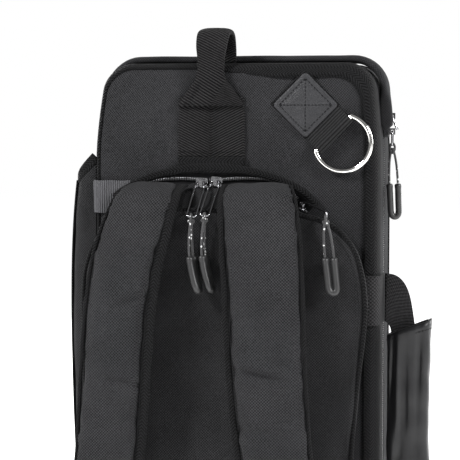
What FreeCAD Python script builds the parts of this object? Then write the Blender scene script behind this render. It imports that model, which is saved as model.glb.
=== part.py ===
import FreeCAD, Part
import math
import os

from FreeCAD import Placement, Rotation, Vector

# A padded drum stick bag. Millimetres, +Z up. The origin is the centre of the flat base,
# the shoulder straps are on the -Y side and the zipped cover opens towards +Y.

os.makedirs("parts", exist_ok=True)
doc = FreeCAD.newDocument("DrumStickBag")
sheet = doc.addObject("Spreadsheet::Sheet", "Sizes")

SIZES = {
    # the case
    "bag_width": 244,
    "bag_height": 498,
    "back_face": 50,  # how far the back panel lies behind the zip
    "front_face": 45,  # how far the front panel lies before the zip
    "corner_radius": 22,
    "edge_bevel": 9,
    "front_edge_radius": 10,
    "wall": 2,
    "zip_half": 4,
    "zip_gap": 0.05,
    "chain_thickness": 3,
    "zip_end_height": 24,
    "hinge_height": 3,
    "hinge_gap": 0.2,
    "base_panel_width": 200,
    "base_panel_reach": 42.5,
    "foam_width": 216,
    "foam_height": 464,
    "foam_thickness": 6,
    "foam_lift": 14,
    # stick sleeves and pockets inside
    "sleeve_width": 200,
    "sleeve_depth": 14,
    "sleeve_wall": 2,
    "sleeve_pitch": 39.6,
    "rear_sleeve_height": 300,
    "front_sleeve_height": 190,
    "mesh_width": 180,
    "mesh_depth": 10,
    "mesh_height": 180,
    "mesh_lift": 60,
    "mesh_frame": 2,
    "mesh_net": 1,
    # front pocket on the cover
    "front_pocket_width": 190,
    "front_pocket_depth": 12,
    "front_pocket_height": 330,
    "front_pocket_lift": 60,
    "front_zip_length": 160,
    "front_zip_band": 8,
    "front_zip_height": 360,
    "front_zip_thickness": 1.6,
    # strap pocket on the back
    "strap_pocket_width": 232,
    "strap_pocket_depth": 32,
    "strap_pocket_height": 342,
    "strap_pocket_lift": 28,
    "strap_pocket_shoulder": 70,
    "strap_pocket_foot": 20,
    "strap_pocket_edge": 5,
    "gusset_width": 130,
    "gusset_rise": 26,
    "gusset_radius": 142.5,
    "gusset_skin": 2.6,
    "gusset_foot": 8,
    "piping_radius": 2,
    "piping_proud": 1.8,
    # arch over the strap pocket
    "arch_radius": 161,
    "arch_centre_x": -17.5,
    "arch_centre_z": 253.5,
    "arch_main_angle": 28.5,  # half the angle of the wide arc
    "arch_end_radius": 42,
    "arch_end_left": 47,  # where the tighter end arcs stop, from the top
    "arch_end_right": 57,
    "arch_band_width": 8,
    "arch_band_thickness": 3.6,
    "arch_band_overlap": 4,
    "arch_tape_width": 14,
    "webbing_thickness": 2.4,
    "left_tab_x": -120,
    "left_tab_base": 371,
    "left_tab_width": 16,
    "left_tab_height": 28,
    # shoulder straps
    "pad_thickness": 10,
    "left_pad_width": 62,
    "right_pad_width": 64,
    "strap_webbing_width": 25,
    "strap_webbing_thickness": 2,
    "lock_width": 36,
    "lock_height": 18,
    "lock_thickness": 6,
    "lock_rim": 4,
    # top handle
    "handle_width": 58,
    "handle_grip_width": 28,
    "handle_thickness": 5,
    "handle_centre_x": -18.5,
    "handle_loop_radius": 20.5,
    "handle_loop_height": 508,
    # D-rings
    "ring_radius": 23.5,
    "ring_wire": 2,
    "ring_offset": 10.6,
    "ring_stand": 4.6,
    "ring_sleeve_radius": 4.2,
    "ring_sleeve_bore": 2.4,
    "tab_width": 38,
    "tab_length": 51,
    "patch_side": 39.5,
    "patch_thickness": 1.2,
    "patch_distance": 34.1,
    "patch_corner": 3,
    "tab_gap": 3,
    # side handle
    "side_webbing": 42,
    "side_anchor_high": 300,
    "side_anchor_low": 125,
    "side_handle_x": 146,
    "side_handle_y": -17,
    "side_sleeve_width": 38,
    "side_sleeve_depth": 22,
    "side_sleeve_height": 130,
    "side_sleeve_base": 147,
    "side_sleeve_wall": 2.5,
    "side_strap_width": 28,
    "side_strap_thickness": 3,
    "side_strap_gap": 3,
    "side_strap_fold": 22,
    # side pocket
    "side_pocket_bulge": 29,
    "side_pocket_span": 42,
    "side_pocket_base": 90,
    "side_pocket_height": 330,
    "side_pocket_mouth_drop": 26,
    "side_pocket_lip": 4,  # how far from the case the mouth starts to slant
    "side_pocket_rounding": 15,
    # storm flap
    "flap_width": 26,
    "flap_thickness": 4,
    "flap_gap": 2.2,
    "flap_end_height": 466,
    # zip pulls
    "slider_length": 10,
    "slider_width": 8,
    "slider_height": 4,
    "lug_side": 3,
    "lug_height": 5.5,
    "lug_sink": 0.5,
    "lug_bore": 1.3,
    "wire_radius": 0.8,
    "puller_width": 8,
    "puller_bend": 2.5,
    "cord_radius": 1,
    "knot_drop": 2.6,
    "grip_radius": 2.7,
    "grip_bore": 1.2,
}

for row, (word, number) in enumerate(SIZES.items(), start=1):
    sheet.set(f"A{row}", word)
    sheet.set(f"B{row}", str(number))
    sheet.setAlias(f"B{row}", word)
doc.recompute()

nodes = []
X_AXIS = Vector(1, 0, 0)
Y_AXIS = Vector(0, 1, 0)
Z_AXIS = Vector(0, 0, 1)
SMALL = 1e-4


def size(word):
    return float(sheet.get(word))


def bind(thing, **expressions):
    """Ties properties to the sheet; a word alone is a cell of it."""
    for name, text in expressions.items():
        thing.setExpression(name, "Sizes." + text if text in SIZES else text)


def bind_place(thing, x="0", y="0", z="0"):
    """Ties a placement's base to expressions."""
    for axis, text in (("x", x), ("y", y), ("z", z)):
        thing.setExpression("Placement.Base." + axis, text)


def add_body(label):
    body = doc.addObject("PartDesign::Body", label)
    body.Label = label
    nodes.append(body)
    return body


def add_feature(label, shape, placement=None):
    """A sub-part whose shape is worked out in code."""
    thing = doc.addObject("Part::Feature", label)
    thing.Label = label
    thing.Shape = shape
    if placement is not None:
        thing.Placement = placement
    nodes.append(thing)
    return thing


def add_box(body, name, length, width, height, x="0", y="0", z="0", cut=False):
    """One box of a body, added or cut away, with its sizes and corner as expressions."""
    kind = "PartDesign::SubtractiveBox" if cut else "PartDesign::AdditiveBox"
    block = body.newObject(kind, name)
    bind(block, Length=length, Width=width, Height=height)
    bind_place(block, x, y, z)
    doc.recompute()
    return block


def edges_where(shape, test):
    return [f"Edge{i}" for i, edge in enumerate(shape.Edges, start=1) if test(edge)]


def faces_where(shape, test):
    return [f"Face{i}" for i, face in enumerate(shape.Faces, start=1) if test(face)]


def along(edge, axis):
    """True for a straight edge that runs along an axis."""
    return isinstance(edge.Curve, Part.Line) and abs(edge.Curve.Direction.dot(axis)) > 1 - SMALL


def round_edges(body, radius, test, name="Rounding"):
    base = body.Tip
    rounding = body.newObject("PartDesign::Fillet", name)
    rounding.Base = (base, edges_where(base.Shape, test))
    bind(rounding, Radius=radius)
    doc.recompute()
    return rounding


def bevel_edges(body, width, test):
    base = body.Tip
    bevel = body.newObject("PartDesign::Chamfer", "Bevel")
    bevel.Base = (base, edges_where(base.Shape, test))
    bind(bevel, Size=width)
    doc.recompute()
    return bevel


def hollow(body, wall, test):
    """Leaves a wall inside the outer faces and takes away the faces that pass the test."""
    base = body.Tip
    skin = body.newObject("PartDesign::Thickness", "Hollow")
    skin.Base = (base, faces_where(base.Shape, test))
    skin.Reversed = True
    skin.Join = 1
    bind(skin, Value=wall)
    doc.recompute()
    if skin.Shape.BoundBox.XLength > base.Shape.BoundBox.XLength + SMALL:
        skin.Reversed = False
        doc.recompute()
    return skin


def rounded_path(points):
    """Straight runs joined by tangent arcs, each arc as large as its two runs allow.

    Gives the wire, and the arcs' radii.
    """
    pieces = []
    radii = []
    start = points[0]
    for before, corner, after in zip(points, points[1:], points[2:]):
        way_in = corner - before
        way_out = after - corner
        turn = way_in.getAngle(way_out)
        trim = 0.45 * min(way_in.Length, way_out.Length)
        radius = trim / math.tan(turn / 2)
        radii.append(radius)
        first = corner - way_in.normalize() * trim
        last = corner + way_out.normalize() * trim
        inward = (way_out - way_in).normalize()
        middle = corner + inward * (radius / math.cos(turn / 2) - radius)
        pieces.append(Part.LineSegment(start, first).toShape())
        pieces.append(Part.Arc(first, middle, last).toShape())
        start = last
    pieces.append(Part.LineSegment(start, points[-1]).toShape())
    return Part.Wire(pieces), radii


def disc(wire, radius):
    """A circle about the start of a wire, square to it."""
    edge = wire.Edges[0]
    return Part.Wire(Part.makeCircle(radius, edge.valueAt(edge.FirstParameter),
                                     edge.tangentAt(edge.FirstParameter)))


def tube(wire, radius):
    return wire.makePipeShell([disc(wire, radius)], True, True)


def ribbon(points, thickness, width):
    """A band that follows points in the YZ plane, centred on X."""
    wire, _ = rounded_path([Vector(-width / 2, y, z) for y, z in points])
    sides = [wire.makeOffset2D(sign * thickness / 2, join=2, fill=True, openResult=True)
             for sign in (1, -1)]
    halves = [side.extrude(X_AXIS * width) for side in sides]
    return halves[0].fuse(halves[1]).removeSplitter()


def arch_point(inset, angle, y=0.0):
    """A point inside the arch's outer edge; the angle is from the top towards +X."""
    main = math.radians(size("arch_main_angle"))
    turn = math.radians(angle)
    radius = size("arch_radius")
    x = size("arch_centre_x")
    z = size("arch_centre_z")
    if abs(turn) > main:
        lead = radius - size("arch_end_radius")
        radius = size("arch_end_radius")
        x += math.copysign(lead * math.sin(main), turn)
        z += lead * math.cos(main)
    reach = radius - inset
    return Vector(x + reach * math.sin(turn), y, z + reach * math.cos(turn))


def arch_edge(inset, y, backwards=False):
    """The three arcs of a line that keeps its distance from the arch's outer edge."""
    main = size("arch_main_angle")
    spans = [(-size("arch_end_left"), -main), (-main, main), (main, size("arch_end_right"))]
    if backwards:
        spans = [(last, first) for first, last in reversed(spans)]
    return [Part.Arc(*[arch_point(inset, angle, y) for angle in (a, (a + b) / 2, b)]).toShape()
            for a, b in spans]


def arch_strip(inset, width, y_near, thickness):
    """A flat curved strip that follows the arch."""
    outer = arch_edge(inset, y_near)
    inner = arch_edge(inset + width, y_near, backwards=True)
    left = -size("arch_end_left")
    right = size("arch_end_right")
    ends = [Part.LineSegment(arch_point(inset, right, y_near),
                             arch_point(inset + width, right, y_near)).toShape(),
            Part.LineSegment(arch_point(inset + width, left, y_near),
                             arch_point(inset, left, y_near)).toShape()]
    outline = Part.Wire(outer + ends[:1] + inner + ends[1:])
    return Part.Face(outline).extrude(Y_AXIS * thickness)


def sketch_on(body, role, name, geometry):
    """A sketch on one of a body's own planes."""
    sketch = body.newObject("Sketcher::SketchObject", name)
    plane = [f for f in body.Origin.OriginFeatures if f.Role == role][0]
    sketch.AttachmentSupport = [(plane, "")]
    sketch.MapMode = "FlatFace"
    sketch.addGeometry(geometry, False)
    doc.recompute()
    return sketch


def polygon(points):
    """Line segments through points and back to the first."""
    corners = [Vector(a, b, 0) for a, b in points]
    return [Part.LineSegment(a, b) for a, b in zip(corners, corners[1:] + corners[:1])]


# ---- the case: back shell, cover and the zip between them ----

def case_half(label, depth, base_y):
    """The rounded block that a half of the case starts from."""
    body = add_body(label)
    add_box(body, label + "_block", "bag_width", depth, "bag_height")
    round_edges(body, "corner_radius", lambda edge: along(edge, Y_AXIS), label + "_corners")
    bind_place(body, "-Sizes.bag_width / 2", base_y, "0")
    return body


def build_back_shell():
    body = case_half("back_shell", "Sizes.back_face - Sizes.zip_half", "-Sizes.back_face")
    depth = size("back_face") - size("zip_half")
    bevel_edges(body, "edge_bevel", lambda edge: edge.BoundBox.YMax < SMALL)
    hollow(body, "wall", lambda face: face.BoundBox.YMin > depth - SMALL)
    add_box(body, "base_panel", "base_panel_width",
            "Sizes.base_panel_reach + Sizes.zip_half + 1", "wall",
            x="(Sizes.bag_width - Sizes.base_panel_width) / 2",
            y="Sizes.back_face - Sizes.zip_half - 1")


def build_back_binding():
    """The woven binding that rounds off the bevelled edge of the back panel."""
    depth = "Sizes.back_face - Sizes.zip_half"
    halves = []
    for name in ("binding_outside", "binding_inside"):
        body = case_half(name, depth, "-Sizes.back_face")
        nodes.remove(body)
        halves.append(body)
    outside, inside = halves
    round_edges(outside, "edge_bevel", lambda edge: edge.BoundBox.YMax < SMALL)
    bevel_edges(inside, "edge_bevel", lambda edge: edge.BoundBox.YMax < SMALL)
    ring = doc.addObject("Part::Cut", "back_binding")
    ring.Label = "back_binding"
    ring.Base = outside
    ring.Tool = inside
    nodes.append(ring)
    doc.recompute()


def build_front_shell():
    body = case_half("front_shell", "Sizes.front_face - Sizes.zip_half", "Sizes.zip_half")
    depth = size("front_face") - size("zip_half")
    round_edges(body, "front_edge_radius", lambda edge: edge.BoundBox.YMin > depth - SMALL)
    hollow(body, "wall", lambda face: face.BoundBox.YMax < SMALL)
    add_box(body, "hinge_slit", "bag_width", "front_face", "Sizes.hinge_height + Sizes.hinge_gap", cut=True)


def build_zip_half(label, base_y):
    """One side of the main zip, over the top and down both sides."""
    body = case_half(label, "Sizes.zip_half - Sizes.zip_gap", base_y)
    depth = size("zip_half") - size("zip_gap")
    hollow(body, "chain_thickness",
           lambda face: face.BoundBox.YMin > depth - SMALL or face.BoundBox.YMax < SMALL)
    add_box(body, label + "_end", "bag_width", "zip_half", "zip_end_height", cut=True)


def build_storm_flap():
    """The padded flap over the zip, from corner to corner across the top."""
    body = add_body("storm_flap")
    outer_width = "Sizes.bag_width + 2 * (Sizes.flap_thickness + Sizes.flap_gap)"
    outer_height = "Sizes.bag_height + Sizes.flap_thickness + Sizes.flap_gap"
    add_box(body, "flap_block", outer_width, "flap_width", outer_height)
    base = body.Tip
    rounding = body.newObject("PartDesign::Fillet", "flap_corners")
    rounding.Base = (base, edges_where(base.Shape, lambda edge: along(edge, Y_AXIS)))
    bind(rounding, Radius="Sizes.corner_radius + Sizes.flap_thickness + Sizes.flap_gap")
    doc.recompute()
    depth = size("flap_width")
    hollow(body, "flap_thickness",
           lambda face: face.BoundBox.YMin > depth - SMALL or face.BoundBox.YMax < SMALL)
    add_box(body, "flap_end", outer_width, "flap_width", "flap_end_height", cut=True)
    bind_place(body, "-Sizes.bag_width / 2 - Sizes.flap_thickness - Sizes.flap_gap",
               "-Sizes.flap_width / 2", "0")


def build_foam(label, base_y):
    body = add_body(label)
    add_box(body, label + "_block", "foam_width", "foam_thickness", "foam_height")
    bind_place(body, "-Sizes.foam_width / 2", base_y, "Sizes.foam_lift")


# ---- what the case holds inside ----

def build_stick_sleeve(label, height, base_y):
    """A row of five upright sleeves that are open at the top."""
    body = add_body(label)
    add_box(body, label + "_block", "sleeve_width", "sleeve_depth", height)
    channel = add_box(body, label + "_channel", "Sizes.sleeve_pitch - Sizes.sleeve_wall",
                      "Sizes.sleeve_depth - Sizes.sleeve_wall * 2", height,
                      x="Sizes.sleeve_wall", y="Sizes.sleeve_wall", z="Sizes.sleeve_wall * 2",
                      cut=True)
    row = body.newObject("PartDesign::LinearPattern", label + "_row")
    row.Originals = [channel]
    row.Direction = ([f for f in body.Origin.OriginFeatures if f.Role == "X_Axis"][0], [""])
    row.setExpression("Length", "Sizes.sleeve_pitch * 4")
    row.Occurrences = 5
    body.Tip = row
    bind_place(body, "-Sizes.sleeve_width / 2", base_y, "Sizes.foam_lift")
    doc.recompute()


def build_mesh_pocket():
    body = add_body("mesh_pocket")
    add_box(body, "mesh_block", "mesh_width", "mesh_depth", "mesh_height")
    add_box(body, "mesh_room", "Sizes.mesh_width - 2 * Sizes.mesh_frame",
            "Sizes.mesh_depth - 2 * Sizes.mesh_net", "mesh_height",
            x="Sizes.mesh_frame", y="Sizes.mesh_net", z="Sizes.mesh_frame", cut=True)
    bind_place(body, "-Sizes.mesh_width / 2",
               "Sizes.front_face - Sizes.wall - Sizes.foam_thickness - Sizes.mesh_depth",
               "Sizes.mesh_lift")


# ---- pockets outside ----

def build_front_pocket():
    body = add_body("front_pocket_shell")
    depth = size("front_pocket_depth")
    add_box(body, "front_pocket_block", "front_pocket_width", "front_pocket_depth",
            "front_pocket_height")
    round_edges(body, "corner_radius", lambda edge: along(edge, Y_AXIS), "front_pocket_corners")
    round_edges(body, "strap_pocket_edge", lambda edge: edge.BoundBox.YMin > depth - SMALL)
    hollow(body, "wall", lambda face: face.BoundBox.YMax < SMALL)
    bind_place(body, "-Sizes.front_pocket_width / 2", "Sizes.front_face",
               "Sizes.front_pocket_lift")
    zip_band = add_body("front_pocket_zip_chain")
    add_box(zip_band, "front_zip_block", "front_zip_length", "front_zip_thickness",
            "front_zip_band")
    bind_place(zip_band, "-Sizes.front_zip_length / 2",
               "Sizes.front_face + Sizes.front_pocket_depth", "Sizes.front_zip_height")


def build_strap_pocket():
    body = add_body("strap_pocket_shell")
    depth = size("strap_pocket_depth")
    height = size("strap_pocket_height")
    add_box(body, "strap_pocket_block", "strap_pocket_width", "strap_pocket_depth",
            "strap_pocket_height")
    round_edges(body, "strap_pocket_shoulder",
                lambda edge: along(edge, Y_AXIS) and edge.BoundBox.ZMin > height - SMALL,
                "strap_pocket_shoulders")
    round_edges(body, "strap_pocket_foot",
                lambda edge: along(edge, Y_AXIS) and edge.BoundBox.ZMax < SMALL,
                "strap_pocket_feet")
    round_edges(body, "strap_pocket_edge", lambda edge: edge.BoundBox.YMax < SMALL)
    hollow(body, "wall", lambda face: face.BoundBox.YMin > depth - SMALL)
    bind_place(body, "-Sizes.strap_pocket_width / 2",
               "-Sizes.back_face - Sizes.strap_pocket_depth", "Sizes.strap_pocket_lift")


def build_gusset():
    """The sloping panel from the pocket's top ledge up to the arched zip."""
    wedge = doc.addObject("PartDesign::Body", "gusset_wedge")
    rise = size("gusset_rise")
    depth = size("strap_pocket_depth") - size("strap_pocket_edge")
    outline = [(-depth, 0), (0, rise), (0, rise - size("gusset_skin")),
               (-depth + size("gusset_foot"), 0)]
    sketch = sketch_on(wedge, "YZ_Plane", "gusset_outline", polygon(outline))
    pad = wedge.newObject("PartDesign::Pad", "gusset_pad")
    pad.Profile = sketch
    bind(pad, Length="gusset_width")
    pad.Midplane = True
    doc.recompute()
    bind_place(wedge, "Sizes.arch_centre_x", "-Sizes.back_face",
               "Sizes.strap_pocket_lift + Sizes.strap_pocket_height")
    under_arch = doc.addObject("Part::Cylinder", "gusset_limit")
    bind(under_arch, Radius="gusset_radius", Height="back_face")
    under_arch.Placement = Placement(
        Vector(size("arch_centre_x"), -size("back_face"), size("arch_centre_z")),
        Rotation(X_AXIS, 90))
    gusset = doc.addObject("Part::Common", "strap_pocket_gusset")
    gusset.Label = "strap_pocket_gusset"
    gusset.Base = wedge
    gusset.Tool = under_arch
    nodes.append(gusset)
    doc.recompute()


def build_piping():
    """Round piping along the pocket's front edge, down both sides from its shoulders."""
    half = size("strap_pocket_width") / 2 + size("piping_proud")
    shoulder = size("strap_pocket_shoulder")
    top = size("strap_pocket_lift") + size("strap_pocket_height") + size("piping_proud")
    foot = size("strap_pocket_lift") + size("strap_pocket_foot")
    y = -size("back_face") - size("strap_pocket_depth") + size("piping_radius")
    bend = shoulder * (1 - math.sqrt(0.5))

    def at(x, z):
        return Vector(x, y, z)

    pieces = [
        Part.LineSegment(at(-half, foot), at(-half, top - shoulder)).toShape(),
        Part.Arc(at(-half, top - shoulder), at(-half + bend, top - bend),
                 at(-half + shoulder, top)).toShape(),
        Part.LineSegment(at(-half + shoulder, top), at(half - shoulder, top)).toShape(),
        Part.Arc(at(half - shoulder, top), at(half - bend, top - bend),
                 at(half, top - shoulder)).toShape(),
        Part.LineSegment(at(half, top - shoulder), at(half, foot)).toShape(),
    ]
    add_feature("strap_pocket_piping", tube(Part.Wire(pieces), size("piping_radius")))


def build_arch():
    face = -size("back_face")
    tape = size("webbing_thickness")
    band = size("arch_band_thickness")
    add_feature("arch_band", arch_strip(0, size("arch_band_width"), face - tape - band, band))
    add_feature("arch_zip_chain", arch_strip(size("arch_band_overlap"), size("arch_tape_width"),
                                             face - tape, tape))


def build_side_pocket():
    """A deep pouch on the left side of the case, with a slanted open mouth."""
    body = add_body("side_pocket_shell")
    bulge = size("side_pocket_bulge")
    span = size("side_pocket_span")
    drop = size("side_pocket_mouth_drop")
    height = size("side_pocket_height")
    add_box(body, "side_pocket_block", "side_pocket_bulge", "side_pocket_span",
            "side_pocket_height")
    round_edges(body, "side_pocket_rounding",
                lambda edge: along(edge, Z_AXIS) and edge.BoundBox.XMax < SMALL,
                "side_pocket_sides")
    hollow(body, "wall", lambda face: face.BoundBox.ZMin > height - SMALL)
    mouth = [(0, height), (bulge - size("side_pocket_lip"), height), (0, height - drop)]
    sketch = sketch_on(body, "XZ_Plane", "mouth_outline", polygon(mouth))
    cut = body.newObject("PartDesign::Pocket", "side_pocket_mouth")
    cut.Profile = sketch
    cut.Length = span * 3
    cut.Midplane = True
    doc.recompute()
    bind_place(body, "-Sizes.bag_width / 2 - Sizes.side_pocket_bulge",
               "-Sizes.zip_half - Sizes.side_pocket_span", "Sizes.side_pocket_base")


def build_left_tab():
    """A flat ribbed tab that runs from under the arch to the left edge."""
    body = add_body("left_tab_webbing")
    add_box(body, "left_tab_block", "left_tab_width", "webbing_thickness", "left_tab_height")
    bind_place(body, "Sizes.left_tab_x", "-Sizes.back_face - Sizes.webbing_thickness",
               "Sizes.left_tab_base")


# ---- shoulder straps ----

# Side by side with the centreline of a pad: how far from the back it is, and how high.
PAD_ROUTE = [(-67, 395), (-89, 386), (-98, 366), (-107, 325), (-112, 260), (-108, 185),
             (-100, 134)]
WEBBING_ROUTE = [(-98, 109), (-94, 80), (-90, 48), (-86, 24), (-71, 14), (-51, 13)]
STRAPS = {
    # side: pad's top centre, pad's lean, webbing's top centre, webbing's lean
    "left": (-68.6, 7.5, -104.0, 0.0),
    "right": (24.5, -6.3, 53.5, -14.0),
}
PAD_TOP = 400
LOCK_CENTRE = (-98.5, 121.5)


def lean_about(x, z, angle):
    """Turns a piece that is built about X = 0 in its own plane, about a point of the back."""
    turn = Placement(Vector(0, 0, 0), Rotation(Y_AXIS, angle), Vector(0, 0, z))
    return Placement(Vector(x, 0, 0), Rotation()).multiply(turn)


def build_strap(side, pad_x, pad_lean, webbing_x, webbing_lean):
    pad = ribbon(PAD_ROUTE, size("pad_thickness"), size(side + "_pad_width"))
    add_feature(f"strap_{side}_pad", pad, lean_about(pad_x, PAD_TOP, pad_lean))
    webbing = ribbon(WEBBING_ROUTE, size("strap_webbing_thickness"), size("strap_webbing_width"))
    add_feature(f"strap_{side}_webbing", webbing,
                lean_about(webbing_x, WEBBING_ROUTE[0][1], webbing_lean))
    lock = doc.addObject("PartDesign::Body", f"lock_{side}")
    add_box(lock, f"lock_{side}_block", "lock_width", "lock_thickness", "lock_height")
    for name, height in (("upper", "Sizes.lock_height * 0.6"), ("lower", "Sizes.lock_height * 0.2")):
        add_box(lock, f"lock_{side}_{name}_slot", "Sizes.lock_width - 2 * Sizes.lock_rim",
                "Sizes.lock_thickness * 2", "Sizes.lock_height * 0.2",
                x="Sizes.lock_rim", y="-Sizes.lock_thickness / 2", z=height, cut=True)
    y, z = LOCK_CENTRE
    shift = Vector(-size("lock_width") / 2, y - size("lock_thickness") / 2,
                   z - size("lock_height") / 2)
    lock.Placement = lean_about(webbing_x, z, (pad_lean + webbing_lean) / 2).multiply(
        Placement(shift, Rotation()))
    return lock


def group(label, pieces):
    """Identical pieces that share a node."""
    together = doc.addObject("Part::Compound", label)
    together.Label = label
    together.Links = pieces
    nodes.append(together)
    doc.recompute()


# ---- handles ----

def build_top_handle():
    """Flat webbing sewn to the back panel, narrowing to a folded loop over the top."""
    body = add_body("top_handle")
    half = size("handle_width") / 2
    grip = size("handle_grip_width") / 2
    thick = size("handle_thickness")
    flare_low, flare_high, panel_low = 463, 495, 415
    lap = 12
    panel = [(-half, panel_low), (half, panel_low), (half, flare_low), (grip, flare_high),
             (-grip, flare_high), (-half, flare_low)]
    sketch = sketch_on(body, "XZ_Plane", "panel_outline", polygon(panel))
    pad = body.newObject("PartDesign::Pad", "handle_panel")
    pad.Profile = sketch
    pad.setExpression("Length", "Sizes.handle_thickness")
    doc.recompute()
    if pad.Shape.BoundBox.YMax > SMALL:
        pad.Reversed = True
        doc.recompute()
    outer = size("handle_loop_radius")
    inner = outer - thick
    top = size("handle_loop_height")
    foot = size("bag_height")
    left = -thick
    right = left + outer * 2
    middle = left + outer
    corners = [Vector(left, flare_high - lap, 0), Vector(left, top, 0), Vector(right, top, 0),
               Vector(right, foot, 0), Vector(right - thick, foot, 0),
               Vector(right - thick, top, 0), Vector(left + thick, top, 0),
               Vector(left + thick, flare_high - lap, 0)]
    loop = [
        Part.LineSegment(corners[0], corners[1]),
        Part.Arc(corners[1], Vector(middle, top + outer, 0), corners[2]),
        Part.LineSegment(corners[2], corners[3]),
        Part.LineSegment(corners[3], corners[4]),
        Part.LineSegment(corners[4], corners[5]),
        Part.Arc(corners[5], Vector(middle, top + inner, 0), corners[6]),
        Part.LineSegment(corners[6], corners[7]),
        Part.LineSegment(corners[7], corners[0]),
    ]
    loop_sketch = sketch_on(body, "YZ_Plane", "loop_outline", loop)
    loop_pad = body.newObject("PartDesign::Pad", "handle_loop")
    loop_pad.Profile = loop_sketch
    loop_pad.setExpression("Length", "Sizes.handle_grip_width")
    loop_pad.Midplane = True
    doc.recompute()
    bind_place(body, "Sizes.handle_centre_x", "-Sizes.back_face", "0")


def build_ring(label, placement):
    """A D-ring of round wire: a straight bar and an arc. The bar's middle is its origin."""
    radius = size("ring_radius")
    offset = size("ring_offset")
    half_bar = math.sqrt(radius ** 2 - offset ** 2)
    open_angle = math.degrees(math.acos(-offset / radius))
    arc = doc.addObject("Part::Torus", label + "_arc")
    bind(arc, Radius1="ring_radius", Radius2="ring_wire")
    arc.Angle3 = open_angle * 2
    arc.Placement = Placement(Vector(offset, 0, 0), Rotation(Z_AXIS, -open_angle))
    bar = doc.addObject("Part::Cylinder", label + "_bar")
    bind(bar, Radius="ring_wire")
    bar.Height = half_bar * 2
    bar.Placement = Placement(Vector(0, half_bar, 0), Rotation(X_AXIS, 90))
    pieces = [arc, bar]
    for sign in (-1, 1):
        corner = doc.addObject("Part::Sphere", f"{label}_corner")
        bind(corner, Radius="ring_wire")
        corner.Placement = Placement(Vector(0, sign * half_bar, 0), Rotation())
        pieces.append(corner)
    ring = doc.addObject("Part::MultiFuse", label)
    ring.Label = label
    ring.Shapes = pieces
    ring.Placement = placement
    nodes.append(ring)
    doc.recompute()


def build_ring_mount(where, placement):
    """The webbing tab that holds a D-ring's bar, and the square patch sewn over it."""
    tab = add_body("d_ring_tab_" + where)
    add_box(tab, f"tab_{where}_flat", "tab_length", "tab_width", "webbing_thickness",
            x="-Sizes.tab_length - Sizes.tab_gap", y="-Sizes.tab_width / 2",
            z="-Sizes.ring_stand")
    for kind, radius in (("Additive", "ring_sleeve_radius"), ("Subtractive", "ring_sleeve_bore")):
        sleeve = tab.newObject(f"PartDesign::{kind}Cylinder", f"tab_{where}_{kind.lower()}")
        bind(sleeve, Radius=radius, Height="tab_width")
        sleeve.Placement = Placement(Vector(0, size("tab_width") / 2, 0), Rotation(X_AXIS, 90))
        doc.recompute()
    tab.Placement = placement
    patch = doc.addObject("PartDesign::Body", "patch_" + where)
    add_box(patch, f"patch_{where}_block", "patch_side", "patch_side", "patch_thickness",
            x="-Sizes.patch_distance - Sizes.patch_side / 2", y="-Sizes.patch_side / 2",
            z="Sizes.webbing_thickness - Sizes.ring_stand")
    round_edges(patch, "patch_corner", lambda edge: along(edge, Z_AXIS), f"patch_{where}_corners")
    patch.Placement = placement
    return patch


def build_rings():
    stand = size("ring_stand")
    upper_bar = Vector(86, -size("back_face") - stand, 439.2)
    lower_bar = Vector(size("bag_width") / 2 + stand, -24, 46)
    # Each frame's X runs from the patch to the ring, and its Z points away from the bag.
    slant = math.sqrt(0.5)
    upper = Rotation(Vector(slant, 0, -slant), Vector(slant, 0, slant), Vector(0, -1, 0), "ZXY")
    lower = Rotation(Vector(0, 0, -1), Vector(0, 1, 0), Vector(1, 0, 0), "ZXY")
    patches = []
    for where, base, turn in (("upper", upper_bar, upper), ("lower", lower_bar, lower)):
        place = Placement(base, turn)
        patches.append(build_ring_mount(where, place))
        build_ring("d_ring_" + where, place)
    group("d_ring_patches", patches)


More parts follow.
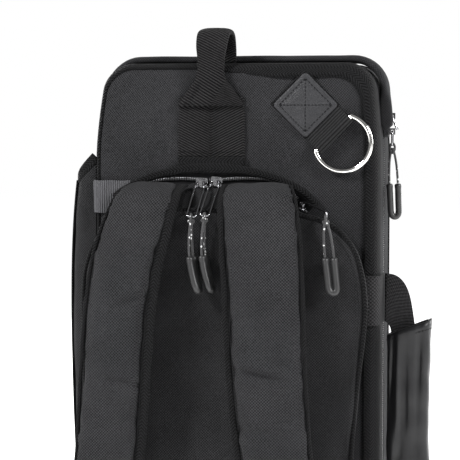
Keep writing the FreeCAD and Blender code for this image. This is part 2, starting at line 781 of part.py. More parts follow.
def build_side_handle():
    side = size("bag_width") / 2
    back = size("back_face")
    thick = size("webbing_thickness")
    tall = size("side_webbing")
    clear = 0.2
    lap = 5.8  # onto the back panel
    reach = -20  # along the side of the case
    bend = 5.5  # the case's bevelled edge, inside the webbing
    anchors = []
    section = [(side - lap, -back - thick), (side - lap + 3.8, -back - thick),
               (side + thick, -back + 3), (side + thick, reach), (side + clear / 2, reach),
               (side + clear / 2, -back + bend), (side - bend + 1, -back - clear),
               (side - lap, -back - clear)]
    for middle in (size("side_anchor_high"), size("side_anchor_low")):
        corners = [Vector(x, y, middle - tall / 2) for x, y in section]
        face = Part.Face(Part.makePolygon(corners + corners[:1]))
        anchors.append(face.extrude(Z_AXIS * tall))
    add_feature("side_handle_anchors", Part.makeCompound(anchors))

    strap = add_body("side_handle_webbing")
    start = side + size("side_strap_gap")
    right = size("side_handle_x") + size("side_strap_width") / 2
    left = right - size("side_strap_width")
    high = size("side_anchor_high") + tall / 2
    low = size("side_anchor_low") - tall / 2
    fold = size("side_strap_fold")
    outline = [(start, high), (right - fold, high), (right, high - fold), (right, low + fold),
               (right - fold, low), (start, low), (start, low + tall), (left, low + tall),
               (left, high - tall), (start, high - tall)]
    sketch = sketch_on(strap, "XZ_Plane", "side_strap_outline", polygon(outline))
    pad = strap.newObject("PartDesign::Pad", "side_strap_pad")
    pad.Profile = sketch
    pad.setExpression("Length", "Sizes.side_strap_thickness")
    pad.Midplane = True
    doc.recompute()
    bind_place(strap, "0", "Sizes.side_handle_y", "0")

    sleeve = add_body("side_handle_sleeve")
    add_box(sleeve, "side_sleeve_block", "side_sleeve_width", "side_sleeve_depth",
            "side_sleeve_height")
    round_edges(sleeve, "Sizes.side_sleeve_depth * 0.45", lambda edge: along(edge, Z_AXIS))
    height = size("side_sleeve_height")
    hollow(sleeve, "side_sleeve_wall",
           lambda face: face.BoundBox.ZMin > height - SMALL or face.BoundBox.ZMax < SMALL)
    bind_place(sleeve, "Sizes.side_handle_x - Sizes.side_sleeve_width / 2",
               "Sizes.side_handle_y - Sizes.side_sleeve_depth / 2", "Sizes.side_sleeve_base")


# ---- zip pulls ----

# A cord loop below its knot: across the loop, and down. Out of the puller, down one
# side, round inside the grip and back up the other side.
LOOP = [(-1.1, 0), (-2.6, 7), (-3.4, 17), (-3.7, 29), (-3.4, 44), (-3.5, 57),
        (3.5, 57), (3.4, 44), (3.7, 29), (3.4, 17), (2.6, 7), (1.1, 0)]
GRIP_FIRST, GRIP_LAST = 3, 9

# name: (hinge point, the hinge's turn about Y, how far the puller leans off the bag,
#        the puller's length, the slider's own turn on its zip, the cord loop's sideways
#        direction and the drift of its lower end; no loop direction means no cord)
PULLS = {
    "arch_left": ((-92.3, -59.3, 380), 18, -59, 37, 58, (1, 0, 0), (-3, -2, 0)),
    "arch_centre_left": ((-26, -59.3, 398), 3, -49, 41, 0, (0.2, 1, 0), (3, -5, 0)),
    "arch_centre_right": ((-13.4, -59.3, 399), 6, -49, 41, 0, (0.2, 1, 0), (2, -5, 0)),
    "arch_right": ((58.3, -59.3, 380), -73, -46, 40, -111, (1, 0.2, 0), (7, -4, 0)),
    "main_upper": ((128.9, 0, 454), 0, -20, 12, 90, None, None),
    "main_lower": ((128.9, 0, 441), 0, 0, 12, 90, (1, 0.2, 0), (6, 1, 0)),
    "front_pocket": ((58, 65.5, 361), 0, 0, 20, 0, (1, 0, 0), (1, 2, 0)),
}


def loop_wire(width, length, bend):
    """A long closed loop of wire that hangs from the middle of its top run."""
    half = width / 2
    corner = bend * (1 - math.sqrt(0.5))

    def at(x, z):
        return Vector(x, 0, z)

    pieces = []
    for sign, top, low in ((1, 0, -length), (-1, -length, 0)):
        step = 1 if top > low else -1
        pieces += [
            Part.LineSegment(at(0, top), at(sign * (half - bend), top)).toShape(),
            Part.Arc(at(sign * (half - bend), top),
                     at(sign * (half - corner), top - step * corner),
                     at(sign * half, top - step * bend)).toShape(),
            Part.LineSegment(at(sign * half, top - step * bend),
                             at(sign * half, low + step * bend)).toShape(),
            Part.Arc(at(sign * half, low + step * bend),
                     at(sign * (half - corner), low + step * corner),
                     at(sign * (half - bend), low)).toShape(),
            Part.LineSegment(at(sign * (half - bend), low), at(0, low)).toShape(),
        ]
    return Part.Wire(pieces)


def build_slider(name, place, own_turn):
    """A zip slider and the bored lug on top of it. The bore's middle is the origin, its
    axis is X, and Z points away from the bag."""
    body = add_body("slider_" + name)
    long, wide, tall = size("slider_length"), size("slider_width"), size("slider_height")
    lug = size("lug_height")
    foot = body.newObject("PartDesign::AdditiveBox", f"slider_{name}_foot")
    bind(foot, Length="slider_length", Width="slider_width", Height="slider_height")
    corner = Placement(Vector(-long / 2, -wide / 2, -lug / 2 - tall), Rotation())
    foot.Placement = Placement(Vector(0, 0, 0), Rotation(Z_AXIS, own_turn)).multiply(corner)
    doc.recompute()
    round_edges(body, "Sizes.slider_width / 5", lambda edge: along(edge, Z_AXIS),
                f"slider_{name}_corners")
    add_box(body, f"slider_{name}_lug", "lug_side", "lug_height", "lug_height",
            x="-Sizes.lug_side / 2", y="-Sizes.lug_height / 2", z="-Sizes.lug_height / 2 - Sizes.lug_sink")
    bore = body.newObject("PartDesign::SubtractiveCylinder", f"slider_{name}_bore")
    bind(bore, Radius="lug_bore", Height="slider_length")
    bore.Placement = Placement(Vector(-long / 2, 0, 0), Rotation(Y_AXIS, 90))
    doc.recompute()
    body.Placement = place


def check_cord(label, shape, wire, radii, radius):
    """Compares a tube's volume with its section times its length."""
    expected = math.pi * radius ** 2 * wire.Length
    share = shape.Volume / expected
    print(f"{label}: length {wire.Length:.1f} mm, volume {share:.3f} of section x length, radii",
          " ".join(f"{r:.1f}" for r in radii))
    if abs(share - 1) > 0.02:
        raise ValueError(label + " is not a clean tube")


def cord_points(knot, side, drift):
    """The loop's points, from the knot, with the lower end drifting to one side."""
    across = Vector(*side).normalize()
    deepest = max(down for _, down in LOOP)
    return [knot + across * a - Z_AXIS * down + Vector(*drift) * (down / deepest)
            for a, down in LOOP]


def outward(name):
    """The turn that puts a slider's Z away from the face of the bag that it is on."""
    if name.startswith("arch"):
        return Rotation(X_AXIS, 90)
    if name.startswith("front"):
        return Rotation(X_AXIS, -90)
    return Rotation(Z_AXIS, 90).multiply(Rotation(X_AXIS, 90))


def build_pull(name, hinge, turn, lean, length, own_turn, side, drift):
    at = Vector(*hinge)
    build_slider(name, Placement(at, Rotation(Y_AXIS, turn).multiply(outward(name))), own_turn)
    wire = loop_wire(size("puller_width"), length, size("puller_bend"))
    hang = Rotation(Y_AXIS, turn).multiply(Rotation(X_AXIS, lean))
    if name.startswith("main"):
        hang = Rotation(Z_AXIS, 90).multiply(Rotation(X_AXIS, lean))
    place = Placement(at, hang)
    add_feature("puller_" + name, tube(wire, size("wire_radius")), place)
    if side is None:
        return
    end = place.multVec(Vector(0, 0, -length))
    knot = end - Z_AXIS * (size("wire_radius") + size("cord_radius") + size("knot_drop"))
    points = cord_points(knot, side, drift)
    path, radii = rounded_path(points)
    cord = tube(path, size("cord_radius"))
    check_cord("cord_" + name, cord, path, radii, size("cord_radius"))
    add_feature("cord_" + name, cord)
    grip_path, _ = rounded_path(points[GRIP_FIRST:GRIP_LAST])
    grip = tube(grip_path, size("grip_radius")).cut(tube(grip_path, size("grip_bore")))
    add_feature("grip_" + name, grip)


build_back_shell()
build_back_binding()
build_front_shell()
build_zip_half("main_zip_chain_back", "-Sizes.zip_half")
build_zip_half("main_zip_chain_front", "Sizes.zip_gap")
build_storm_flap()
build_foam("back_padding", "-Sizes.back_face + Sizes.wall")
build_foam("front_padding", "Sizes.front_face - Sizes.wall - Sizes.foam_thickness")
build_stick_sleeve("stick_sleeve_rear", "rear_sleeve_height",
                   "-Sizes.back_face + Sizes.wall + Sizes.foam_thickness")
build_stick_sleeve("stick_sleeve_front", "front_sleeve_height",
                   "-Sizes.back_face + Sizes.wall + Sizes.foam_thickness + Sizes.sleeve_depth")
build_mesh_pocket()
build_front_pocket()
build_strap_pocket()
build_gusset()
build_piping()
build_arch()
build_side_pocket()
build_left_tab()
group("ladder_locks", [build_strap(side, *sizes) for side, sizes in STRAPS.items()])
build_top_handle()
build_rings()
build_side_handle()
for pull_name, pull_sizes in PULLS.items():
    build_pull(pull_name, *pull_sizes)

doc.recompute()
for thing in doc.Objects:
    if "Invalid" in thing.State or "Error" in thing.State:
        raise ValueError(f"{thing.Label} did not compute: {thing.State}")
for node in nodes:
    if node.Shape.isNull() or not node.Shape.isValid():
        raise ValueError(node.Label + " has no valid shape")
for node in nodes:
    node.Shape.exportStep(f"parts/{node.Label}.step")
print(len(nodes), "sub-parts")
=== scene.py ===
"""A padded drum stick bag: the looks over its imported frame.

Places are given in millimetres in the frame's axes, through at(), and every Blender
object is in metres. -Y is the side with the shoulder straps, +X the side with the
handle, and the bag stands on z = 0.
"""
import math

import bmesh
import bpy
from mathutils import Matrix, Vector, noise


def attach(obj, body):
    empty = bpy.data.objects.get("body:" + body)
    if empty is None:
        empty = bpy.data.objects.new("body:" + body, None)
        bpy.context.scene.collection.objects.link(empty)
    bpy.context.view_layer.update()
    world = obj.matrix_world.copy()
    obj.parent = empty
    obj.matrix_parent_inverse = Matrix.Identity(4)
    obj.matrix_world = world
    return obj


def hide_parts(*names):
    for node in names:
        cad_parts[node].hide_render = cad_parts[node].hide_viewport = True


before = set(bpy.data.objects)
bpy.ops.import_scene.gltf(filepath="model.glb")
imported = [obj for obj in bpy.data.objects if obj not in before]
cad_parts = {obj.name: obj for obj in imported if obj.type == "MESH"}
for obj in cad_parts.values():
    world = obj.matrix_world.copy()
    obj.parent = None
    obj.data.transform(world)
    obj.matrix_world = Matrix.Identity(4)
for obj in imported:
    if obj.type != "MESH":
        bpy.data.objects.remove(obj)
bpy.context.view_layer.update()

MM = 0.001
X = Vector((1, 0, 0))
Y = Vector((0, 1, 0))
Z = Vector((0, 0, 1))


def at(x, y, z):
    """A point given in millimetres."""
    return Vector((x, y, z)) * MM


def clamp(value, low=0, high=1):
    return min(max(value, low), high)


def even(first, last, steps):
    return [first + (last - first) * n / steps for n in range(steps + 1)]


# ---- camera ----

CAMERA_AZIMUTH = math.radians(12)
CAMERA_ELEVATION = math.radians(4)
CAMERA_DISTANCE = 1.4
CAMERA_TARGET = at(-2.6, -52, 357.8)
CAMERA_LENS = 129.3
SENSOR_WIDTH = 36


def make_camera():
    data = bpy.data.cameras.new("camera")
    data.lens = CAMERA_LENS
    data.sensor_width = SENSOR_WIDTH
    camera = bpy.data.objects.new("camera", data)
    bpy.context.scene.collection.objects.link(camera)
    flat = math.cos(CAMERA_ELEVATION)
    back = Vector((math.sin(CAMERA_AZIMUTH) * flat, -math.cos(CAMERA_AZIMUTH) * flat,
                   math.sin(CAMERA_ELEVATION)))
    camera.location = CAMERA_TARGET + back * CAMERA_DISTANCE
    camera.rotation_euler = back.to_track_quat("Z", "Y").to_euler()
    bpy.context.scene.camera = camera


# ---- materials ----

class Value:
    """A number that varies over a material: the output of one of its nodes."""

    def __init__(self, tree, socket):
        self.tree = tree
        self.socket = socket

    def feed(self, slot):
        self.tree.links.new(self.socket, slot)

    def maths(self, operation, *others):
        return compute(self.tree, operation, self, *others)

    def __add__(self, other):
        return self.maths("ADD", other)

    def __sub__(self, other):
        return self.maths("SUBTRACT", other)

    def __rsub__(self, other):
        return compute(self.tree, "SUBTRACT", other, self)

    def __mul__(self, other):
        return self.maths("MULTIPLY", other)

    def wave(self, pitch):
        """A sine from -1 to 1 that repeats every pitch metres."""
        return (self * (2 * math.pi / pitch)).maths("SINE")


def compute(tree, operation, *values):
    node = tree.nodes.new("ShaderNodeMath")
    node.operation = operation
    for slot, value in zip(node.inputs, values):
        if isinstance(value, Value):
            value.feed(slot)
        else:
            slot.default_value = value
    return Value(tree, node.outputs[0])


def new_material(name, colour, roughness, sheen=0.0, specular=0.5, metallic=0.0):
    made = bpy.data.materials.new(name)
    made.use_nodes = True
    shader = made.node_tree.nodes["Principled BSDF"]
    shader.inputs["Base Color"].default_value = (*colour, 1)
    shader.inputs["Roughness"].default_value = roughness
    shader.inputs["Metallic"].default_value = metallic
    shader.inputs["Specular IOR Level"].default_value = specular
    shader.inputs["Sheen Weight"].default_value = sheen
    shader.inputs["Sheen Roughness"].default_value = 0.45
    return made, shader, made.node_tree


def along_and_across(tree):
    """The cloth's own coordinates in metres, from its UVs."""
    source = tree.nodes.new("ShaderNodeUVMap")
    source.uv_map = "cloth"
    split = tree.nodes.new("ShaderNodeSeparateXYZ")
    tree.links.new(source.outputs["UV"], split.inputs[0])
    return Value(tree, split.outputs["X"]), Value(tree, split.outputs["Y"])


def texture(tree, kind, size):
    """A texture node in the object's own coordinates, with features this many metres wide."""
    place = tree.nodes.new("ShaderNodeTexCoord")
    node = tree.nodes.new(kind)
    node.inputs["Scale"].default_value = 1 / size
    tree.links.new(place.outputs["Object"], node.inputs["Vector"])
    return node


def cloud(tree, size, detail=3.0):
    """Noise from 0 to 1."""
    node = texture(tree, "ShaderNodeTexNoise", size)
    node.inputs["Detail"].default_value = detail
    return Value(tree, node.outputs["Fac"])


def shade(shader, light, dark, amount):
    """Mixes two colours by a value from 0 to 1."""
    mix = amount.tree.nodes.new("ShaderNodeMix")
    mix.data_type = "RGBA"
    mix.inputs["A"].default_value = (*dark, 1)
    mix.inputs["B"].default_value = (*light, 1)
    mix.clamp_factor = True
    amount.feed(mix.inputs["Factor"])
    amount.tree.links.new(mix.outputs["Result"], shader.inputs["Base Color"])


def emboss(shader, height, depth, strength=1.0):
    """Bump, where a height of 1 stands depth metres proud."""
    bump = height.tree.nodes.new("ShaderNodeBump")
    bump.inputs["Strength"].default_value = strength
    bump.inputs["Distance"].default_value = depth
    height.feed(bump.inputs["Height"])
    height.tree.links.new(bump.outputs["Normal"], shader.inputs["Normal"])


def scaled(colour, share):
    return tuple(channel * share for channel in colour)


# How much of a weave's relief is threads and how much is uneven yarn, and its blotches.
THREAD_SHARE = 0.42
YARN_SHARE = 0.7
YARN_SIZE = 0.0014
BLOTCH_SHARE = 0.35
BLOTCH_SIZE = 0.04


def woven(name, colour, pitch, style, depth=0.0003, roughness=0.85, contrast=0.5,
          reach=0.0045, slope=1.0):
    """Woven cloth: plain, twill, ribbed across its length, or in chevrons of this reach."""
    made, shader, tree = new_material(name, colour, roughness, sheen=0.015, specular=0.10)
    along, across = along_and_across(tree)
    if style == "plain":
        threads = along.wave(pitch) * across.wave(pitch)
    elif style == "twill":
        threads = (along + across).wave(pitch)
    elif style == "ribbed":
        threads = along.wave(pitch * 2).maths("ABSOLUTE") * 2 - 1
    else:
        threads = (along + across.maths("PINGPONG", reach) * slope).wave(pitch)
    weave = threads * THREAD_SHARE + cloud(tree, YARN_SIZE, 2.0) * YARN_SHARE
    blotches = (cloud(tree, BLOTCH_SIZE) - 0.45) * BLOTCH_SHARE
    shade(shader, scaled(colour, 1 + contrast), scaled(colour, 1 - contrast), weave + blotches)
    emboss(shader, weave, depth)
    return made


def leatherette(name, colour, roughness=0.42, grain_depth=0.00022):
    made, shader, tree = new_material(name, colour, roughness, sheen=0.02, specular=0.3)
    cells = texture(tree, "ShaderNodeTexVoronoi", 0.0014)
    cells.feature = "DISTANCE_TO_EDGE"
    grain = Value(tree, cells.outputs["Distance"]).maths("MINIMUM", 0.25)
    emboss(shader, grain * 3 + cloud(tree, 0.004), grain_depth, 0.8)
    shade(shader, scaled(colour, 1.3), scaled(colour, 0.75), cloud(tree, 0.006))
    (cloud(tree, 0.01) * 0.25 + (roughness - 0.12)).feed(shader.inputs["Roughness"])
    return made


def polished(name, colour, roughness, metallic, wear=0.06):
    """Metal, enamel, plastic or rubber with faint smears."""
    made, shader, tree = new_material(name, colour, roughness, metallic=metallic)
    smear = cloud(tree, 0.008)
    (smear * (wear * 2) + (roughness - wear)).feed(shader.inputs["Roughness"])
    shade(shader, scaled(colour, 1.08), scaled(colour, 0.9), smear)
    emboss(shader, cloud(tree, 0.0015, 4.0), 0.00003)
    return made


def flecked(name, colour, fleck):
    """Braided cord with light threads."""
    made, shader, tree = new_material(name, colour, 0.7, sheen=0.2)
    spots = texture(tree, "ShaderNodeTexVoronoi", 0.0021)
    split = tree.nodes.new("ShaderNodeSeparateColor")
    tree.links.new(spots.outputs["Color"], split.inputs[0])
    distance = Value(tree, spots.outputs["Distance"])
    chosen = Value(tree, split.outputs[0]).maths("GREATER_THAN", 0.8)
    shade(shader, fleck, colour, chosen * distance.maths("LESS_THAN", 0.42))
    emboss(shader, distance, 0.0003)
    return made


def netting(name, colour):
    """A net with open holes."""
    made, shader, tree = new_material(name, colour, 0.7, sheen=0.2)
    along, across = along_and_across(tree)
    cell = along.wave(0.006) * across.wave(0.006)
    hole = cell.maths("ABSOLUTE").maths("GREATER_THAN", 0.38)
    (1 - hole * 0.85).feed(shader.inputs["Alpha"])
    emboss(shader, cell, 0.0003)
    return made


NYLON = woven("nylon", (0.021, 0.021, 0.0225), 0.0023, "plain", depth=0.0004, contrast=0.9)
# A darker copy of the nylon, as painted shade: its darkness stands in for the shade that falls on
# the strap pocket between the straps, and it covers every pocket.
SHADED_POCKET_NYLON = woven("pocket_nylon_painted_shade", (0.018, 0.018, 0.019), 0.0023, "plain", depth=0.0004,
                     contrast=0.9)
STRAP_NYLON = woven("strap_nylon", (0.023, 0.023, 0.0245), 0.0025, "plain", depth=0.0005,
                    contrast=0.9)
BINDING = woven("binding", (0.007, 0.007, 0.0075), 0.0028, "chevron", depth=0.0009, contrast=0.85)
WEBBING = woven("webbing", (0.024, 0.0235, 0.0245), 0.0030, "plain", depth=0.0007, contrast=0.8)
HANDLE_WEBBING = woven("handle_webbing", (0.015, 0.0145, 0.015), 0.0022, "chevron", depth=0.0012,
                       contrast=1.0, reach=0.0285, slope=0.5)
RIBBED = woven("ribbed_webbing", (0.013, 0.013, 0.0135), 0.0026, "ribbed", depth=0.0009,
               contrast=0.8)
TAB_WEBBING = woven("tab_webbing", (0.062, 0.062, 0.066), 0.0019, "ribbed", depth=0.0006,
                    contrast=0.55)
LINING = woven("lining", (0.05, 0.05, 0.054), 0.0012, "plain", roughness=0.7)
TAPE = woven("zip_tape", (0.012, 0.012, 0.013), 0.0012, "twill")
THREAD = woven("thread", (0.0025, 0.0025, 0.003), 0.0006, "twill", roughness=0.6)
LEATHER = leatherette("leatherette", (0.016, 0.016, 0.018))
SLEEVE_LEATHER = leatherette("sleeve_leatherette", (0.009, 0.009, 0.0098), 0.38,
                             grain_depth=0.00006)
NICKEL = polished("nickel", (0.80, 0.79, 0.76), 0.09, 1.0, wear=0.03)
ENAMEL = polished("black_metal", (0.30, 0.30, 0.31), 0.13, 1.0, wear=0.03)
TEETH = polished("zip_teeth", (0.16, 0.16, 0.165), 0.24, 0.6)
RUBBER = polished("rubber", (0.014, 0.014, 0.0145), 0.45, 0.0)
PLASTIC = polished("buckle_plastic", (0.016, 0.016, 0.017), 0.40, 0.0)
CORD = flecked("cord", (0.02, 0.02, 0.021), (0.55, 0.55, 0.55))
NET = netting("net", (0.02, 0.02, 0.021))


# ---- mesh tools: sizes are in millimetres, points in metres ----

def add_piece(name, points, faces, uvs=None):
    mesh = bpy.data.meshes.new(name)
    mesh.from_pydata(points, [], faces)
    if uvs is not None:
        layer = mesh.uv_layers.new(name="cloth")
        for corner, uv in zip(layer.data, uvs):
            corner.uv = uv
    mesh.polygons.foreach_set("use_smooth", [True] * len(mesh.polygons))
    piece = bpy.data.objects.new(name, mesh)
    bpy.context.scene.collection.objects.link(piece)
    return piece


def running(points, closed):
    """The distance run at each point of a row, measured from the row's middle."""
    stops = [0.0]
    following = points[1:] + (points[:1] if closed else [])
    for a, b in zip(points, following):
        stops.append(stops[-1] + (b - a).length)
    middle = stops[-1] / 2
    return [stop - middle for stop in stops]


def skin(name, rows, around=False, looped=False, cap=False):
    """A surface through rows of points, with UVs in metres along and across the rows.

    around closes each row on itself, looped joins the last row to the first, and cap
    closes the first and last rows."""
    count = len(rows[0])
    following = rows[1:] + (rows[:1] if looped else [])
    along = [0.0]
    for row, ahead in zip(rows, following):
        step = sum((b - a).length for a, b in zip(row, ahead)) / count
        along.append(along[-1] + step)
    across = [running(row, around) for row in rows]
    faces = []
    uvs = []
    for i in range(len(following)):
        k = (i + 1) % len(rows)
        for j in range(count if around else count - 1):
            n = (j + 1) % count
            faces.append((i * count + j, i * count + n, k * count + n, k * count + j))
            uvs += [(along[i], across[i][j]), (along[i], across[i][j + 1]),
                    (along[i + 1], across[k][j + 1]), (along[i + 1], across[k][j])]
    if cap:
        ends = [list(range(count))[::-1], list(range((len(rows) - 1) * count, len(rows) * count))]
        for end in ends:
            faces.append(end)
            uvs += [(0, across[0][index % count]) for index in end]
    return add_piece(name, [point for row in rows for point in row], faces, uvs)


def box_uvs(piece):
    """UVs in metres, projected along each face's main axis."""
    mesh = piece.data
    layer = mesh.uv_layers.get("cloth") or mesh.uv_layers.new(name="cloth")
    for face in mesh.polygons:
        sizes = [abs(part) for part in face.normal]
        main = sizes.index(max(sizes))
        first, second = [axis for axis in (2, 0, 1) if axis != main]
        for loop in face.loop_indices:
            place = mesh.vertices[mesh.loops[loop].vertex_index].co
            layer.data[loop].uv = (place[first], place[second])


def tidy_surface(piece, reach=0.05):
    """Merges points that fall together and turns every face outwards."""
    work = bmesh.new()
    work.from_mesh(piece.data)
    bmesh.ops.remove_doubles(work, verts=work.verts, dist=reach * MM)
    bmesh.ops.recalc_face_normals(work, faces=work.faces)
    work.to_mesh(piece.data)
    work.free()
    piece.data.update()
    return piece


def eased(points, rounds=3, closed=False):
    """Corner cutting, which keeps the two ends of an open line."""
    for _ in range(rounds):
        following = points[1:] + (points[:1] if closed else [])
        cut = []
        for a, b in zip(points, following):
            cut += [a.lerp(b, 0.25), a.lerp(b, 0.75)]
        points = cut if closed else [points[0]] + cut + [points[-1]]
    return points


def paced(points, step):
    """Points evenly spaced along a line."""
    stops = running(points, False)
    length = stops[-1] - stops[0]
    count = max(2, round(length / (step * MM)))
    made = []
    k = 0
    for n in range(count + 1):
        reach = stops[0] + length * n / count
        while k < len(points) - 2 and stops[k + 1] < reach:
            k += 1
        span = stops[k + 1] - stops[k]
        share = (reach - stops[k]) / span if span > 0 else 0
        made.append(points[k].lerp(points[k + 1], clamp(share)))
    return made


def smooth(points, step, rounds=3):
    return paced(eased(points, rounds), step)


def oval(width, thickness, power=2.0, count=24):
    """A closed section: 2 is an ellipse, and more is squarer."""
    made = []
    for n in range(count):
        turn = 2 * math.pi * n / count
        a = math.copysign(abs(math.cos(turn)) ** (2 / power), math.cos(turn)) * width / 2
        b = math.copysign(abs(math.sin(turn)) ** (2 / power), math.sin(turn)) * thickness / 2
        made.append((a, b))
    return made


def sweep(name, line, across, section, looped=False):
    """A band or tube along a line. section lists offsets across it and out of it, or is
    a function that gives them for a share of the line; so is across."""
    rows = []
    last = len(line) - 1
    for k, point in enumerate(line):
        after = line[(k + 1) % len(line)] if looped else line[min(k + 1, last)]
        before = line[k - 1] if looped else line[max(k - 1, 0)]
        ahead = (after - before).normalized()
        side = across(k / last) if callable(across) else across
        side = (side - ahead * side.dot(ahead)).normalized()
        out = side.cross(ahead)
        offsets = section(k / last) if callable(section) else section
        rows.append([point + side * (a * MM) + out * (b * MM) for a, b in offsets])
    return skin(name, rows, around=True, looped=looped, cap=not looped)


def ruffle(piece, height, size, seed=0, weight=None):
    """Moves cloth in and out along its normals with smooth noise."""
    mesh = piece.data
    normals = [vertex.normal.copy() for vertex in mesh.vertices]
    shift = Vector((seed * 3.7, seed * 1.3, seed * 5.1))
    for vertex, normal in zip(mesh.vertices, normals):
        amount = noise.noise(vertex.co / (size * MM) + shift) * height * MM
        if weight is not None:
            amount *= weight(vertex.co)
        vertex.co += normal * amount
    mesh.update()


def fold(piece, folds):
    """Soft ridges and grooves on the strap side. Each is a centre, the direction it runs
    in, its length, its width and how far it rises or sinks."""
    for centre, direction, length, width, height in folds:
        middle = at(*centre)
        direction = Vector(direction).normalized()
        side = direction.cross(-Y).normalized()
        for vertex in piece.data.vertices:
            reach = (vertex.co - middle) / MM
            along = reach.dot(direction) / length
            across = reach.dot(side) / width
            deep = reach.y / (length + width)
            if abs(along) < 3 and abs(across) < 3 and abs(deep) < 1:
                vertex.co.y -= height * MM * math.exp(-along * along - across * across)
    piece.data.update()


# Each ring of a stitch or tooth: its place along it and its share of the full width.
GRAIN_RINGS = [(-1.0, 0.4), (-0.6, 1.0), (0.6, 1.0), (1.0, 0.4)]
GRAIN_SIDES = 6


def grains(name, places, size):
    """Many small rounded bars in one mesh, as stitches or teeth. Each place is a
    middle, a direction along the bar and one across it."""
    length, width, height = (part * MM for part in size)
    points = []
    faces = []
    for middle, along, across in places:
        start = len(points)
        out = along.cross(across)
        for reach, share in GRAIN_RINGS:
            for n in range(GRAIN_SIDES):
                turn = 2 * math.pi * n / GRAIN_SIDES
                points.append(middle + along * reach * length / 2
                              + across * math.cos(turn) * share * width / 2
                              + out * math.sin(turn) * share * height / 2)
        for r in range(len(GRAIN_RINGS) - 1):
            for n in range(GRAIN_SIDES):
                m = (n + 1) % GRAIN_SIDES
                low = start + r * GRAIN_SIDES
                faces.append((low + n, low + m, low + GRAIN_SIDES + m, low + GRAIN_SIDES + n))
        end = len(points)
        faces.append(tuple(range(start, start + GRAIN_SIDES))[::-1])
        faces.append(tuple(range(end - GRAIN_SIDES, end)))
    piece = add_piece(name, points, faces)
    tidy_surface(piece, 0)
    box_uvs(piece)
    return piece


def dress(piece, body, material, slot, *nodes):
    """Gives a piece its material and body, and hides the CAD nodes it stands for. slot is not used.
    """
    piece.data.materials.clear()
    piece.data.materials.append(material)
    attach(piece, body)
    if nodes:
        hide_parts(*nodes)
    return piece


def band(name, line, across, section, look, *nodes, body="case", wave=None, looped=False):
    """A sewn band, tape or piping. look is its material and slot, and wave is a ruffle's
    height, size and seed."""
    piece = sweep(name, line, across, section, looped=looped)
    if looped:
        tidy_surface(piece)
    if wave:
        ruffle(piece, *wave)
    return dress(piece, body, *look, *nodes)


STITCH_PITCH = 3.0
STITCH_SIZE = (2.1, 0.55, 0.55)


def stitch(name, line, out, body="case", slot="case_fabric"):
    """A run of stitches that lies on a surface facing out."""
    stops = paced(line, STITCH_PITCH)
    places = []
    for a, b in zip(stops, stops[1:]):
        along = (b - a).normalized()
        facing = out(a) if callable(out) else out
        places.append(((a + b) / 2, along, facing.cross(along).normalized()))
    dress(grains(name, places, STITCH_SIZE), body, THREAD, slot)


def zip_teeth(name, line, pitch, size, lie, body="case"):
    """A row of teeth; lie gives a tooth's own direction for the zip's at that place."""
    stops = paced(line, pitch)
    places = []
    for a, b in zip(stops, stops[1:]):
        ahead = (b - a).normalized()
        places.append(((a + b) / 2, lie(ahead), ahead))
    dress(grains(name, places, size), body, TEETH, "zip_chain")


PAD_PRESSURE = 4
PAD_SWELL = 2.5 * MM
PAD_VOXEL = 3.6 * MM
CLOTH_FRAMES = 20


def swell(piece):
    """Blows a closed pad up as cloth, with no point moving further than PAD_SWELL."""
    piece.data.materials.clear()
    scene = bpy.context.scene
    bpy.context.view_layer.objects.active = piece
    remesh = piece.modifiers.new("remesh", "REMESH")
    remesh.mode = "VOXEL"
    remesh.voxel_size = PAD_VOXEL
    bpy.ops.object.modifier_apply(modifier="remesh")
    start = [vertex.co.copy() for vertex in piece.data.vertices]
    cloth = piece.modifiers.new("cloth", "CLOTH")
    cloth.settings.use_pressure = True
    cloth.settings.uniform_pressure_force = PAD_PRESSURE
    cloth.settings.effector_weights.gravity = 0
    scene.frame_start = 1
    scene.frame_end = CLOTH_FRAMES
    for step in range(1, CLOTH_FRAMES + 1):
        scene.frame_set(step)
    settled = piece.evaluated_get(bpy.context.evaluated_depsgraph_get()).data
    moved = [vertex.co.copy() for vertex in settled.vertices]
    piece.modifiers.remove(cloth)
    scene.frame_set(1)
    for vertex, a, b in zip(piece.data.vertices, start, moved):
        reach = b - a
        if reach.length > PAD_SWELL:
            reach = reach.normalized() * PAD_SWELL
        vertex.co = a + reach
    finer = piece.modifiers.new("finer", "SUBSURF")
    finer.levels = finer.render_levels = 1
    bpy.ops.object.modifier_apply(modifier="finer")
    piece.data.polygons.foreach_set("use_smooth", [True] * len(piece.data.polygons))
    piece.data.update()


BOUND = (BINDING, "binding_tape")


# ---- zip pulls ----

CORD_RADIUS = 1.0 * MM
GRIP_WIDTH = 5.4
WIRE_RADIUS = 0.8 * MM
KNOT_DROP = 2.6 * MM
CORD_SECTION = oval(2 * CORD_RADIUS / MM, 2 * CORD_RADIUS / MM, 2, 10)

# A cord's loop below its knot, in metres: across the loop, and down.
LOOP = [(-0.0011, 0), (-0.0026, 0.007), (-0.0034, 0.017), (-0.0037, 0.029), (-0.0034, 0.044),
        (-0.0035, 0.057), (0.0035, 0.057), (0.0034, 0.044), (0.0037, 0.029), (0.0034, 0.017),
        (0.0026, 0.007), (0.0011, 0)]
GRIP_START = 0.028

# Hinge, turn about Y, lean, length of the puller, the loop's side and its drift.
PULLS = {
    "arch_left": ((-92.3, -59.3, 380), 18, -59, 37, (1, 0, 0), (-3, -2, 0)),
    "arch_centre_left": ((-26, -59.3, 398), 3, -49, 41, (0.2, 1, 0), (3, -5, 0)),
    "arch_centre_right": ((-13.4, -59.3, 399), 6, -49, 41, (0.2, 1, 0), (2, -5, 0)),
    "arch_right": ((58.3, -59.3, 380), -73, -46, 40, (1, 0.2, 0), (7, -4, 0)),
    "main_lower": ((128.9, 0, 441), 0, 0, 12, (1, 0.2, 0), (2.5, 1, 0)),
    "front_pocket": ((58, 65.5, 361), 0, 0, 20, (1, 0, 0), (1, 2, 0)),
}

# How far the rubber grips of some pulls bend aside.
BENDS = {"arch_centre_left": 4.5 * MM, "arch_centre_right": 5.5 * MM}


